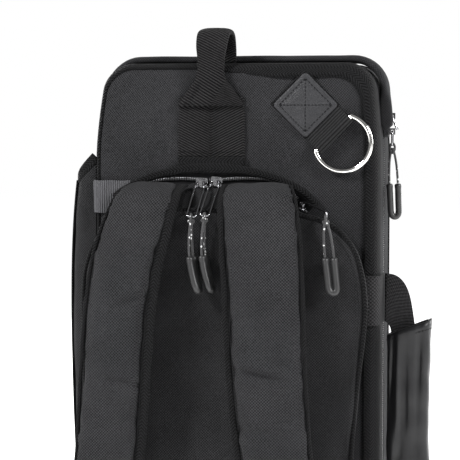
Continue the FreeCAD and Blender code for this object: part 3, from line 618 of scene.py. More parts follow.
def hang_turn(name, turn, lean):
    """How a puller hangs from its slider."""
    first = Matrix.Rotation(math.radians(turn), 3, "Y")
    if name.startswith("main"):
        first = Matrix.Rotation(math.radians(90), 3, "Z")
    return first @ Matrix.Rotation(math.radians(lean), 3, "X")


def add_cord(name, points):
    data = bpy.data.curves.new(name, "CURVE")
    data.dimensions = "3D"
    spline = data.splines.new("NURBS")
    spline.points.add(len(points) - 1)
    for control, point in zip(spline.points, points):
        control.co = (*point, 1)
    spline.order_u = 3
    spline.use_endpoint_u = True
    data.resolution_u = 12
    data.bevel_depth = CORD_RADIUS
    data.bevel_resolution = 4
    data.use_fill_caps = True
    piece = bpy.data.objects.new(name, data)
    bpy.context.scene.collection.objects.link(piece)
    return piece


def line_of(curve):
    """The points along a curve's own line."""
    data = curve.data.copy()
    data.bevel_depth = 0
    plain = bpy.data.objects.new("plain_line", data)
    mesh = bpy.data.meshes.new_from_object(plain)
    points = [vertex.co.copy() for vertex in mesh.vertices]
    bpy.data.meshes.remove(mesh)
    bpy.data.objects.remove(plain)
    bpy.data.curves.remove(data)
    return points


def make_grip(name, line, across):
    """A rubber tube over the lower end of a cord's loop."""
    line = paced(line, 1.0)

    def section(share):
        end = min(share, 1 - share) * (len(line) - 1)
        lip = 1 + 0.10 * math.exp(-((end - 2) / 1.5) ** 2)
        width = GRIP_WIDTH * (0.80 if end < 0.5 else lip)
        return oval(width, width, 2, 20)

    return tidy_surface(sweep(name, line, across, section))


KNOT_SIZE = 0.72 * MM


def make_knot(name, knot, ring, bar):
    """An overhand knot, and the eye above it that goes round the puller's wire."""
    turns = [2 * math.pi * n / 60 for n in range(60)]
    trefoil = [knot + Vector((math.sin(t) + 2 * math.sin(2 * t), math.sin(3 * t) * 1.1,
                              math.cos(t) - 2 * math.cos(2 * t))) * KNOT_SIZE for t in turns]
    body = sweep(name, trefoil, Y, CORD_SECTION, looped=True)
    drop = (ring - knot).length / 2
    middle = (ring + knot) / 2
    up = (ring - knot).normalized()
    out = bar.cross(up).normalized()
    eye = [middle + up * math.cos(t) * (drop + CORD_RADIUS + WIRE_RADIUS)
           + out * math.sin(t) * CORD_RADIUS * 2.1 for t in turns]
    around = sweep(name + "_eye", eye, bar, CORD_SECTION, looped=True)
    for thing in (body, around):
        tidy_surface(thing)
        box_uvs(thing)
    return body, around


def make_pulls():
    for name, (hinge, turn, lean, length, side, drift) in PULLS.items():
        turned = hang_turn(name, turn, lean)
        end = at(*hinge) + turned @ at(0, 0, -length)
        knot = end - Z * (WIRE_RADIUS + CORD_RADIUS + KNOT_DROP)
        across = Vector(side).normalized()
        deepest = max(down for _, down in LOOP)
        points = []
        for a, down in LOOP:
            share = down / deepest
            sway = BENDS.get(name, 0) * (share ** 3 - 0.35 * math.sin(math.pi * share))
            points.append(knot + across * a - Z * down + at(*drift) * share + X * sway)
        body = "pull_" + name
        cord = add_cord("pull_cord_" + name, points)
        dress(cord, body, CORD, "pull_cord", "cord_" + name)
        line = [point for point in line_of(cord) if point.z < knot.z - GRIP_START]
        grip = make_grip("pull_grip_" + name, line, across.cross(Z))
        dress(grip, body, RUBBER, "grip_rubber", "grip_" + name)
        for thing in make_knot("pull_knot_" + name, knot, end, turned @ X):
            dress(thing, body, CORD, "pull_cord")


# ---- the case, in millimetres ----

CORNER_POINTS = 10
HALF_WIDTH = 122
HEIGHT = 498
CASE_CORNERS = [22] * 4
BACK = -50
FRONT = 45
WALL = 2


def rounded_rectangle(left, right, low, high, radii, step=9):
    """Outline points, anticlockwise from the lower left, with a radius for each corner."""
    corners = [(left, low, 1, 1, 180), (right, low, -1, 1, 270), (right, high, -1, -1, 0),
               (left, high, 1, -1, 90)]
    bends = []
    for (x, z, inx, inz, start), radius in zip(corners, radii):
        for n in range(CORNER_POINTS + 1):
            turn = math.radians(start + 90 * n / CORNER_POINTS)
            bends.append((x + inx * radius + radius * math.cos(turn),
                          z + inz * radius + radius * math.sin(turn)))
    made = []
    for (x, z), (far_x, far_z) in zip(bends, bends[1:] + bends[:1]):
        parts = max(1, round(math.hypot(far_x - x, far_z - z) / step))
        made += [(x + (far_x - x) * n / parts, z + (far_z - z) * n / parts)
                 for n in range(parts)]
    return made


def facing_back(a, b, depth):
    return at(a, depth, b)


def facing_up(a, b, depth):
    return at(a, b, depth)


def drawn_in(x, z, spine, share):
    """A place moved towards an upright spine (middle, low, high); a share of 1 stays."""
    middle, low, high = spine
    level = clamp(z, low, high)
    return middle + (x - middle) * share, level + (z - level) * share


def shell(name, outline, spine, profile, place=facing_back):
    """A soft shell of rings round a spine. The profile lists each ring's share, 1 at the
    outline, and its depth."""
    rows = [[place(*drawn_in(x, z, spine, share), depth) for x, z in outline]
            for share, depth in profile]
    piece = tidy_surface(skin(name, rows, around=True))
    box_uvs(piece)
    return piece


def panel(share, face, crown, steps=12):
    """The rings of a slightly crowned panel, from its spine outwards."""
    return [(share * n / steps, face + crown * (1 - (n / steps) ** 2)) for n in range(steps + 1)]


SLUMP_FROM = 420
SLUMP_SPAN = 65
SLUMP_LEFT = 8
SLUMP_RIGHT = 5
SLUMP_REACH = 100


def slump(x, z):
    """The soft case narrows a little towards its top."""
    rise = max(0.0, (z - SLUMP_FROM) / SLUMP_SPAN)
    most = SLUMP_RIGHT if x > 0 else -SLUMP_LEFT
    return x - most * rise ** 1.5 * min(1, abs(x) / SLUMP_REACH)


def slump_piece(piece):
    for vertex in piece.data.vertices:
        vertex.co.x = slump(vertex.co.x / MM, vertex.co.z / MM) * MM
    piece.data.update()


CASE_OUTLINE = rounded_rectangle(-HALF_WIDTH, HALF_WIDTH, 0, HEIGHT, CASE_CORNERS)
CASE_SPINE = (0, HALF_WIDTH, HEIGHT - HALF_WIDTH)


def inset(distance):
    """The share of the case's outline that lies this far inside it."""
    return 1 - distance / HALF_WIDTH


def rings(*places):
    """A profile's rings from insets and depths."""
    return [(inset(distance), depth) for distance, depth in places]


def make_back_case():
    profile = panel(inset(12), BACK, -0.7)
    profile += rings((9, BACK), (6.5, -49.4), (3, -47), (0.8, -43.5))
    profile += [(1, y) for y in even(-40, -5, 8)]
    profile += rings((0.8, -4.1), (WALL, -4.8), (WALL, -24), (WALL, -46), (12, -48), (60, -48),
                     (HALF_WIDTH, -48))
    piece = shell("case_back", CASE_OUTLINE, CASE_SPINE, profile)
    ruffle(piece, 1.6, 50, seed=1, weight=upper_panel)
    ruffle(piece, 0.8, 16, seed=16, weight=upper_panel)
    fold(piece, PUCKERS)
    slump_piece(piece)
    dress(piece, "case", NYLON, "case_fabric", "back_shell")
    outline = rounded_rectangle(-100, 100, -4, 42, [3] * 4)
    profile = [(0, 0.2), (0.5, 0.2), (0.98, 0.2), (1, 1.1), (0.98, 2), (0.5, 2), (0, 2)]
    base = shell("case_base", outline, (0, 19, 19), profile, facing_up)
    dress(base, "case", NYLON, "case_fabric")


def upper_panel(place):
    """How freely a place on the back panel moves: 0 at its edges, 1 well inside them."""
    if place.y > BACK * MM + 0.004:
        return 0
    reach = min(HALF_WIDTH * MM - abs(place.x), HEIGHT * MM - place.z, place.z)
    return clamp(reach / 0.03 - 0.2)


# The back panel's puckers, as fold() reads them.
PUCKERS = [
    ((-50, BACK, 478), (0.55, 0, 1), 12, 3.0, 1.6),
    ((-44, BACK, 484), (0.7, 0, 1), 12, 2.6, -1.5),
    ((-38, BACK, 488), (0.3, 0, 1), 10, 2.6, 1.2),
    ((12, BACK, 484), (-0.5, 0, 1), 12, 3.0, 1.4),
    ((48, BACK, 489), (1, 0, -0.12), 26, 3.0, -1.8),
    ((46, BACK, 483), (1, 0, -0.08), 26, 3.4, 1.3),
    ((16, BACK, 470), (0.5, 0, 1), 20, 6, 1.4),
    ((34, BACK, 482), (1, 0, 0.15), 26, 5, -1.2),
    ((30, BACK, 455), (1, 0, 0.6), 22, 7, 1.0),
    ((-60, BACK, 480), (1, 0, -0.2), 24, 6, 0.9),
    ((-75, BACK, 440), (0.2, 0, 1), 40, 16, 1.0),
    ((95, BACK, 400), (0.3, 0, 1), 30, 10, 0.8),
]


def make_front_case():
    outline = rounded_rectangle(-HALF_WIDTH, HALF_WIDTH, 3.4, HEIGHT, CASE_CORNERS)
    profile = panel(inset(14), FRONT, 0.6)
    profile += rings((10, FRONT), (6, 44.2), (2.9, 42.1), (0.8, 39))
    profile += [(1, y) for y in even(35, 5, 6)]
    profile += rings((0.8, 4.1), (WALL, 4.8), (WALL, 24), (WALL, 41), (12, 43), (60, 43),
                     (HALF_WIDTH, 43))
    piece = shell("case_cover", outline, CASE_SPINE, profile)
    ruffle(piece, 0.8, 70, seed=4, weight=lambda place: 1 if place.y > 0.0449 else 0)
    slump_piece(piece)
    dress(piece, "cover", NYLON, "case_fabric", "front_shell")


def make_edge_tape(name, wide, narrow, body, *nodes):
    """Woven tape round the case's outline. Its sections, for the right edge and for the
    left, list insets and depths."""
    rows = []
    for x, z in CASE_OUTLINE:
        share = clamp(0.5 - x / 80)
        row = []
        for (inner, y), (other, other_y) in zip(wide, narrow):
            across, height = drawn_in(x, z, CASE_SPINE, inset(inner + (other - inner) * share))
            row.append(at(across, y + (other_y - y) * share, max(0.1, height)))
        rows.append(row)
    piece = tidy_surface(skin(name, rows, around=True, looped=True))
    slump_piece(piece)
    dress(piece, body, *BOUND, *nodes)


def case_line(distance, y, low):
    """A line this far inside the case's outline, over the top from side to side."""
    places = [(x, z) for x, z in CASE_OUTLINE if z >= low]
    start = places.index(min((p for p in places if p[0] > 0), key=lambda p: (p[1], -p[0])))
    made = []
    for x, z in places[start:] + places[:start]:
        across, height = drawn_in(x, z, CASE_SPINE, inset(distance))
        made.append(at(slump(across, height), y, height))
    return made


def make_bindings():
    back = [(11.5, -50.2), (11.2, -51.3), (8.5, -51.5), (5.4, -50.8), (2.2, -48.6),
            (0.1, -45.2), (-0.9, -40.5), (-1.1, -34), (-0.9, -28.8), (0.2, -28.3),
            (0.6, -34), (1.8, -44), (5.5, -49)]
    narrow = [(4.0, -47.7), (3.9, -49.0), (3.0, -49.4), (1.8, -48.4), (0.8, -46.4),
              (-0.3, -43.8), (-0.9, -40.5), (-1.1, -34), (-0.9, -28.8), (0.2, -28.3),
              (0.6, -34), (1.8, -44), (3.2, -46.6)]
    make_edge_tape("edge_binding", back, narrow, "case", "back_binding")
    seam = [point for point in paced(case_line(9.6, -51.6, 30), 3) if point.x > 0.045]
    stitch("edge_stitches", seam, -Y, "case", "binding_tape")
    front = [(10.5, 44.9), (10.2, 45.8), (7.5, 45.9), (4.2, 44.6), (1.2, 41.6), (-0.7, 37.6),
             (-0.9, 33), (0.2, 32.6), (0.6, 37), (3.4, 43), (6, 44.4)]
    make_edge_tape("cover_binding", front, front, "cover")


ZIP_LOW = 24
TAPE_LOOK = (TAPE, "zip_chain")


def make_main_zip():
    for name, body, y in (("back", "case", -2.3), ("front", "cover", 2.3)):
        line = [point + at(0, y, 0) for point in paced(case_line(1.1, 0, ZIP_LOW), 6)]
        band("main_tape_" + name, line, Y, oval(3.3, 2.2, 4, 12), TAPE_LOOK,
             "main_zip_chain_" + name, body=body)
        line = case_line(0.6, y * 0.45, ZIP_LOW)
        zip_teeth("main_teeth_" + name, line, 1.7, (1.9, 1.0, 1.5), lambda ahead: Y, body)


FLAP_OUT = 4.7
FLAP_END = 433
FLAP_WIDE_FROM = 478
FLAP_TAPER = 14
FLAP_NEAR = -13.2
FLAP_FAR = 13


def make_storm_flap():
    """A padded flap over the zip; at each end it narrows to a tongue beside the slider."""
    line = paced(case_line(-FLAP_OUT, 0, FLAP_END), 4)

    def section(share):
        height = line[round(share * (len(line) - 1))].z / MM
        low = clamp((FLAP_WIDE_FROM - height) / FLAP_TAPER)
        low = low * low * (3 - 2 * low)
        far = FLAP_FAR - low * 18.4
        end = min(share, 1 - share) * (len(line) - 1) * 4
        close = math.sqrt(max(0.0, 1 - max(0.0, 1 - end / 6) ** 2)) * 0.97 + 0.03
        wide = (far - FLAP_NEAR) * (0.55 + 0.45 * close)
        return [((far + FLAP_NEAR) / 2 + a, b - low * 0.6)
                for a, b in oval(wide, (7.0 + 4.2 * low) * close, 3.0, 28)]

    piece = tidy_surface(sweep("zip_flap", line, Y, section))
    ruffle(piece, 0.5, 20, seed=3)
    dress(piece, "case", NYLON, "case_fabric", "storm_flap")


# ---- strap pocket, arch and what is sewn beside them ----

ARCH_CENTRE = (-17.5, 253.5)
ARCH_RADIUS = 161
ARCH_MAIN = math.radians(28.5)
ARCH_END_RADIUS = 42
ARCH_LEFT = -47
ARCH_RIGHT = 57


def arch_point(distance, angle, y):
    """A point inside the arch's outer edge; the angle is from the top towards +X."""
    turn = math.radians(angle)
    radius = ARCH_RADIUS
    x, z = ARCH_CENTRE
    if abs(turn) > ARCH_MAIN:
        lead = ARCH_RADIUS - ARCH_END_RADIUS
        radius = ARCH_END_RADIUS
        x += math.copysign(lead * math.sin(ARCH_MAIN), turn)
        z += lead * math.cos(ARCH_MAIN)
    reach = radius - distance
    return at(x + reach * math.sin(turn), y, z + reach * math.cos(turn))


def arch_line(distance, y):
    return paced([arch_point(distance, angle, y) for angle in even(ARCH_LEFT, ARCH_RIGHT, 120)], 3)


# The arched zip's teeth sag between the sliders.
TEETH_ROUTE = [(-97, 379), (-92, 386), (-83, 394), (-70, 399), (-52, 401.5), (-34, 401),
               (-19.5, 399.5), (-5, 401), (14, 402), (30, 401.5), (42, 397.5), (51, 390),
               (58.5, 381), (63, 373)]


def make_arch():
    angles = even(ARCH_LEFT, ARCH_RIGHT, 140)
    widths = [5.2 + 3.4 * math.exp(-(angle / 13) ** 2) for angle in angles]
    line = [arch_point(width / 2, angle, -54.3) for angle, width in zip(angles, widths)]
    band("arch_binding", line, Y,
         lambda share: oval(3.4, widths[round(share * (len(line) - 1))], 3.5, 20), BOUND,
         "arch_band", wave=(0.5, 12, 15))
    stitch("arch_stitches", arch_line(6.2, -56.0), -Y, "case", "binding_tape")
    band("arch_tape", arch_line(11, -51.4), Y, oval(1.6, 14, 6, 20), TAPE_LOOK, "arch_zip_chain")
    line = eased([at(x, -53.4, z) for x, z in TEETH_ROUTE])
    zip_teeth("arch_teeth", line, 1.5, (3.2, 0.85, 1.8), Y.cross)


# The strap pocket's front edge, anticlockwise from its lower left corner.
POCKET_CORNERS = [(-112, 28), (96, 28), (104, 60), (104, 150), (109, 225), (115, 268),
                  (117.5, 305), (110, 343), (92, 364), (70, 373), (35, 375), (-17, 376.5),
                  (-60, 375.5), (-84, 373), (-108, 358), (-122, 330), (-124.5, 296),
                  (-123, 230), (-122, 150), (-121, 60)]
POCKET_SPINE = (-4, 130, 285)
POCKET_FACE = -82
POCKET_SEAM = 0.955
POCKET_FOLDS = [
    ((92, POCKET_FACE, 180), (0.35, 0, 1), 34, 9, 2.2),
    ((80, POCKET_FACE, 235), (-0.25, 0, 1), 40, 10, -1.8),
    ((98, POCKET_FACE, 290), (0.1, 0, 1), 36, 10, 1.6),
    ((82, POCKET_FACE, 330), (0.8, 0, -0.5), 24, 8, 1.2),
    ((-25, POCKET_FACE, 300), (0.1, 0, 1), 50, 9, 1.6),
    ((-10, POCKET_FACE, 230), (-0.15, 0, 1), 50, 8, -1.6),
    ((-20, POCKET_FACE, 190), (0.25, 0, 1), 30, 8, 1.4),
    ((60, POCKET_FACE, 90), (0.8, 0, 0.4), 40, 12, 1.8),
    ((-70, POCKET_FACE, 80), (0.9, 0, -0.3), 40, 12, 1.8),
]


def pocket_outline():
    corners = eased([Vector((x, z, 0)) * MM for x, z in POCKET_CORNERS], closed=True)
    spaced = paced(corners + corners[:1], 7)[:-1]
    return [(point.x / MM, point.y / MM) for point in spaced]


def pocket_ring(share, y):
    return [facing_back(*drawn_in(x, z, POCKET_SPINE, share), y) for x, z in pocket_outline()]


def make_strap_pocket():
    profile = panel(POCKET_SEAM, POCKET_FACE + 1.2, -3.4, 14)
    profile += [(0.975, -80.6), (0.99, -79.3), (1, -77), (1.004, -72), (1.0, -64), (0.992, -57),
                (0.985, -51), (0.97, -50.4), (0.96, -52), (0.965, -60), (0.97, -72),
                (0.94, -78.5), (0.6, -80.2), (0, POCKET_FACE)]
    piece = shell("strap_pocket", pocket_outline(), POCKET_SPINE, profile)
    front = (POCKET_FACE + 6) * MM
    ruffle(piece, 2.4, 45, seed=7, weight=lambda place: 1 if place.y < front else 0.5)
    fold(piece, POCKET_FOLDS)
    dress(piece, "case", SHADED_POCKET_NYLON, "case_fabric", "strap_pocket_shell")
    band("pocket_piping", pocket_ring(1.0, POCKET_FACE + 2.2), Y, oval(3.6, 3.6, 2, 14), BOUND,
         "strap_pocket_piping", looped=True)
    stitch("pocket_stitches", pocket_ring(POCKET_SEAM, POCKET_FACE + 0.1), -Y)


def thicken(piece, thickness):
    piece.modifiers.new("thickness", "SOLIDIFY").thickness = thickness * MM


POCKET_LEDGE = [(-104, 360), (-92, 367), (-75, 372), (-40, 374.5), (-15, 375), (20, 374.5),
                (55, 373.5), (75, 370.5), (88, 365)]


def make_pocket_top():
    """The sloping panel from the arched zip down to the pocket's ledge."""
    angles = even(ARCH_LEFT - 6, ARCH_RIGHT + 8, 60)
    upper = paced([arch_point(16.5, angle, -52.2) for angle in angles], 1)
    ledge = smooth([at(x, POCKET_FACE + 4, z) for x, z in POCKET_LEDGE], 1)
    down = Vector((0, 0.6, -1)).normalized()
    rows = []
    for across in even(0, 1, 60):
        top = upper[round(across * (len(upper) - 1))]
        low = ledge[round(across * (len(ledge) - 1))]
        rows.append([top.lerp(low, share) + down * math.sin(math.pi * share) * 3.2 * MM
                     for share in even(0, 1, 12)])
    piece = skin("pocket_top", rows)
    thicken(piece, 1.2)
    ruffle(piece, 1.5, 18, seed=11)
    dress(piece, "case", SHADED_POCKET_NYLON, "case_fabric", "strap_pocket_gusset")


def make_left_tab():
    line = [at(x, y, 385) for x, y in [(-90, -51.2), (-106, -51.5), (-113, -53), (-119, -52.4),
                                       (-123, -48.5), (-124.6, -41), (-124.8, -33)]]
    band("left_tab", smooth(line, 2), Z, oval(28, 1.6, 7, 24), (TAB_WEBBING, "webbing"),
         "left_tab_webbing", wave=(0.5, 12, 5))


# ---- shoulder straps ----

# Middle and width of each pad, from the pocket's top to the webbing below.
PAD_ROUTES = {
    "left": [(-61, -55, 394, 48), (-62.5, -66, 394, 51), (-66, -84, 387, 56),
             (-70.5, -97, 368, 60), (-81.2, -106.5, 326, 62), (-86.5, -111, 262, 62),
             (-91.5, -108, 190, 61.5), (-99, -100.5, 134, 60)],
    "right": [(22, -55, 394.5, 56), (23, -66, 395, 60), (25.4, -80, 388.5, 64),
              (29.4, -92, 372, 69), (35.4, -104, 326, 69.5), (38.8, -111, 262, 67.5),
              (43.5, -108, 190, 65), (50, -100.5, 134, 62)],
}
PAD_THICKNESS = 9.5 * MM
PAD_FOLDS = {
    "left": [
        ((-52, -96, 371), (1, 0, 0.4), 20, 4, -2.7),
        ((-92, -104, 335), (1, 0, -0.4), 20, 4, 2.4),
        ((-66, -109, 306), (1, 0, 0.45), 18, 3.5, -3.0),
        ((-64, -109, 312), (1, 0, 0.4), 18, 4, 2.2),
        ((-100, -112, 262), (1, 0, 0.6), 18, 5, -2.7),
        ((-72, -112, 234), (1, 0, -0.15), 20, 3.5, -3.0),
        ((-74, -111, 240), (1, 0, -0.25), 18, 4, 2.1),
        ((-72, -110, 205), (1, 0, 0.35), 18, 4, -2.4),
    ],
    "right": [
        ((12, -98, 372), (1, 0, -0.3), 22, 4, -2.4),
        ((50, -102, 345), (1, 0, 0.4), 18, 4, 2.2),
        ((20, -110, 290), (1, 0, 0.25), 20, 4, -2.4),
        ((60, -112, 250), (1, 0, -0.35), 18, 4, -2.7),
        ((56, -112, 262), (1, 0, 0.3), 16, 3.5, 2.1),
        ((18, -112, 268), (1, 0, 0.8), 16, 3.5, 2.4),
        ((30, -112, 251), (1, 0, -0.15), 24, 4, 3.0),
        ((34, -112, 245), (1, 0, -0.25), 24, 3.5, -3.0),
        ((14, -111, 236), (1, 0, 0.4), 16, 4, 2.2),
        ((30, -110, 196), (1, 0, -0.2), 24, 4, -2.4),
    ],
}
# How many stations away a strap's slant is measured.
SLANT_REACH = 16


def strap_stations(route):
    """Points along a strap with its width, its direction across and the way it faces."""
    line = smooth([Vector((x, y, z, width)) * MM for x, y, z, width in route], 4)
    made = []
    for k, point in enumerate(line):
        last = len(line) - 1
        ahead = line[min(k + 1, last)] - line[max(k - 1, 0)]
        ahead = Vector(ahead[:3]).normalized()
        wide = line[min(k + SLANT_REACH, last)] - line[max(k - SLANT_REACH, 0)]
        slant = math.atan2(wide.x, -wide.z) * 0.9 * clamp((k - 5) / 14)
        across = Vector((math.cos(slant), 0, math.sin(slant)))
        across = (across - ahead * across.dot(ahead)).normalized()
        out = ahead.cross(across).normalized()
        if out.y > 0:
            out = -out
        made.append((Vector(point[:3]), point[3], across, out))
    return made


# The side of each strap that has the wide woven edge, and how wide it is.
WIDE_EDGES = {"left": (1, 8.5 * MM), "right": (-1, 5.5 * MM)}
NARROW_EDGE = 3.2 * MM
EDGE_OVERLAP = 6 * MM


def make_strap(side):
    stations = strap_stations(PAD_ROUTES[side])
    count = len(stations)
    wide_sign, wide_edge = WIDE_EDGES[side]
    rows = []
    for k, (middle, width, across, out) in enumerate(stations):
        share = k / (count - 1)
        thick = PAD_THICKNESS * min(1, 0.5 + share * 6) * min(1, 0.5 + (1 - share) * 10)
        shift = across * -wide_sign * (wide_edge - NARROW_EDGE) / 2
        section = oval(width - wide_edge - NARROW_EDGE + EDGE_OVERLAP, thick, 2.6, 40)
        rows.append([middle + shift + across * a + out * b for a, b in section])
    pad = tidy_surface(skin(f"strap_{side}", rows, around=True, cap=True))
    swell(pad)
    ruffle(pad, 1.3, 24, seed=len(side))
    ruffle(pad, 0.8, 10, seed=len(side) + 2)
    fold(pad, PAD_FOLDS[side])
    box_uvs(pad)
    dress(pad, "case", STRAP_NYLON, "strap_fabric", f"strap_{side}_pad")
    for sign, word in ((-1, "left"), (1, "right")):
        wide = sign == wide_sign
        tape = wide_edge if wide else NARROW_EDGE
        line = [middle + across * sign * (width / 2 - tape / 2) + out * (1.3 * MM if wide else 0)
                for middle, width, across, out in stations]
        name = f"strap_{side}_edge_{word}"
        band(name, line, lambda share: stations[round(share * (count - 1))][2],
             oval(tape / MM, 2.6 if wide else 3.4, 3.0, 18), BOUND, wave=(0.6, 14, sign + 3))
        if wide:
            seam = [middle + across * sign * (width / 2 - tape + 1.0 * MM) + out * 2.9 * MM
                    for middle, width, across, out in stations]
            stitch(name + "_stitches", seam, -Y, "case", "strap_fabric")


WEBBING_ROUTES = {
    "left": [(-104, -98, 116), (-104, -96, 96), (-104, -92, 70), (-104, -88, 44),
             (-104, -81, 22), (-104, -68, 14.5), (-104, -51.5, 13)],
    "right": [(51, -98, 116), (54, -96, 96), (60, -92, 70), (66, -88, 44), (71, -81, 22),
              (74, -68, 14.5), (76, -51.5, 13)],
}


def make_strap_webbing(side):
    line = smooth([at(*point) for point in WEBBING_ROUTES[side]], 3)
    band(f"strap_{side}_tape", line, X, oval(25, 1.8, 7, 24), (WEBBING, "webbing"),
         f"strap_{side}_webbing")


# ---- top handle ----

HANDLE_X = -18.5
# Depth, height and width along the webbing: the panel below, and the fold, loop and end.
HANDLE_PANEL = [(-51.7, 415, 58), (-51.7, 440, 58), (-51.9, 470, 56)]
HANDLE_ROUTE = [(-54.0, 462.5, 57), (-54.1, 465, 55), (-54.3, 475, 41), (-54.2, 485, 25),
                (-53.8, 495, 22), (-53.2, 505, 24), (-52.4, 514, 27), (-46, 523.5, 28),
                (-34.5, 526, 28), (-23, 523.5, 28), (-16.8, 514, 28), (-16.4, 500, 28)]
HANDLE_FLAT = 57 * MM
HANDLE_GATHER = 28 * MM
# The stitched rows across the panel: their height, half length and depth.
HANDLE_ROWS = {"low": (420.5, 28, -53.1), "middle": (424, 28, -53.1), "high": (464.5, 27, -55.7)}


def handle_rows(route, low_thick, high_thick, groove):
    """Sections of the handle's webbing, with a groove where its two halves meet."""
    line = smooth([Vector(point) * MM for point in route], 2.5)
    rows = []
    for k, (depth, height, width) in enumerate(line):
        before = line[max(k - 1, 0)]
        after = line[min(k + 1, len(line) - 1)]
        ahead = Vector((0, after.x - before.x, after.y - before.y)).normalized()
        out = ahead.cross(X)
        narrow = clamp((HANDLE_FLAT - width) / HANDLE_GATHER)
        thick = (low_thick + (high_thick - low_thick) * narrow) * MM
        row = []
        for a, b in oval(width, thick, 5, 56):
            if b > 0:
                b -= groove * MM * math.exp(-(a / (1.6 * MM)) ** 2)
                b += 1.4 * MM * narrow * (1 - (2 * a / width) ** 2)
            row.append(Vector((HANDLE_X * MM + a, depth, height)) - out * b)
        rows.append(row)
    return rows


def make_top_handle():
    flat = tidy_surface(skin("top_handle_panel", handle_rows(HANDLE_PANEL, 2.4, 2.4, 1.6),
                             around=True, cap=True))
    ruffle(flat, 0.5, 14, seed=9)
    dress(flat, "case", HANDLE_WEBBING, "webbing", "top_handle")
    loop = tidy_surface(skin("top_handle_loop", handle_rows(HANDLE_ROUTE, 3.0, 5.0, 0),
                             around=True, cap=True))
    fold(loop, [((HANDLE_X + sign * 13, -55, 473), (-sign * 0.62, 0, 1), 11, 1.5, -2.0)
                for sign in (-1, 1)])
    ruffle(loop, 0.5, 12, seed=10)
    dress(loop, "case", HANDLE_WEBBING, "webbing")
    # A tuck of webbing across the handle's foot, given the dark binding material as painted shadow:
    # it stands in for the band of shade there.
    foot = [at(HANDLE_X + side, -53.4, 415.6) for side in even(-28.6, 28.6, 20)]
    band("top_handle_foot_shadow_band", foot, Z, oval(7.4, 2.2, 5, 16), (BINDING, "webbing"),
         wave=(0.5, 10, 13))
    runs = {name: [at(HANDLE_X - half, depth, z), at(HANDLE_X + half, depth, z)]
            for name, (z, half, depth) in HANDLE_ROWS.items()}
    for sign, word in ((-1, "left"), (1, "right")):
        x = HANDLE_X + sign * 2.6
        runs[word] = [at(x, -53.0, 420), at(x, -53.1, 461)]
    for name, run in runs.items():
        stitch(f"handle_stitches_{name}", run, -Y, "case", "webbing")


# ---- rings ----

RING_FLOOR = -4.6
PATCH_SIDE = 39.5
PATCH_MIDDLE = -34.1
# How far along, and how far out, the ring's webbing runs: over the bar and back under it.
RING_TAB_ROUTE = [(-53, RING_FLOOR + 1.0), (-20, RING_FLOOR + 1.0), (-10, RING_FLOOR + 1.6),
                  (-4, 1.2), (-1, 3.3), (3, 2.6), (3.6, -1), (1.4, -3.4), (-4, -3.9), (-9, -4.0)]
# Each ring of the webbing square's and the patch's profiles: its share and its depth.
SQUARE_PROFILE = [(0, 1.9), (0.9, 1.9), (0.985, 1.7), (1, 1.1), (0.985, 0.5), (0.9, 0.3), (0, 0.3)]
PATCH_TOP = 3.6
PATCH_PROFILE = [(0, 0.35), (0.4, 0.3), (0.72, 0.25), (0.8, -0.1), (0.88, 0.15), (0.96, 0),
                 (1.0, -0.45), (1.0, -1.0), (0.97, -1.25), (0.5, -1.2), (0, -1.2)]


def ring_mount(where, bar, toward, out):
    """The webbing round a ring's bar and the stitched patch over its end."""
    across = out.cross(toward)

    def place(a, b, depth):
        return bar + toward * a * MM + across * b * MM + out * depth * MM

    def on_patch(a, b, depth):
        return place(PATCH_MIDDLE + a, b, RING_FLOOR + depth)

    line = smooth([place(a, 0, depth) for a, depth in RING_TAB_ROUTE], 1.2)
    band(f"ring_tab_{where}", line, across, oval(38, 1.5, 7, 28), (RIBBED, "webbing"),
         f"d_ring_tab_{where}", wave=(0.3, 12, 6))
    half = PATCH_SIDE / 2
    under = rounded_rectangle(-half - 2.0, half, -half - 1.0, half + 1.0, [1.5] * 4, step=3)
    square = shell(f"ring_base_{where}", under, (0, 0, 0), SQUARE_PROFILE, on_patch)
    dress(square, "case", BINDING, "webbing")
    outline = rounded_rectangle(-half, half, -half, half, [3] * 4, step=3)
    profile = [(share, PATCH_TOP + depth) for share, depth in PATCH_PROFILE]
    patch = shell(f"ring_patch_{where}", outline, (0, 0, 0), profile, on_patch)
    dress(patch, "case", LEATHER, "leatherette")
    inner = half - 4
    corners = [(-inner, -inner), (inner, -inner), (inner, inner), (-inner, inner), (-inner, -inner)]
    runs = list(zip(corners, corners[1:]))
    runs += [((-inner, -inner), (inner, inner)), ((-inner, inner), (inner, -inner))]
    for n, ends in enumerate(runs):
        line = [on_patch(a, b, PATCH_TOP + 0.4) for a, b in ends]
        stitch(f"ring_stitches_{where}_{n}", line, out, "case", "leatherette")
    return patch


def make_rings():
    slant = math.sqrt(0.5)
    upper = ring_mount("upper", at(86, -54.6, 439.2), Vector((slant, 0, -slant)), -Y)
    ring_mount("lower", at(126.6, -24, 46), -Z, X)
    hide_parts("d_ring_patches")


# ---- side handle and side pocket ----

GRIP_DEPTH = -17
GRIP_STEPS = 90
ANCHOR_ROUTE = [(108, -51.6), (114, -52.4), (119, -52.6), (123, -49.4), (124.4, -43),
                (124.6, -34), (124.4, -26), (124.2, -19.5)]
# The outer and the inner edge of the side handle's webbing.
GRIP_OUTER = [(125.3, 320.5), (135, 319.5), (143, 312), (148, 298), (150, 282), (153, 262),
              (154, 212.5), (153, 163), (150, 143), (148, 127), (143, 113), (135, 105.5),
              (125.3, 104.5)]
GRIP_INNER = [(125.3, 279), (127, 278.5), (129, 276.5), (130.5, 273), (131.5, 265), (132.5, 255),
              (133, 212.5), (132.5, 170), (131.5, 160), (130.5, 152), (129, 148.5), (127, 146.5),
              (125.3, 146)]


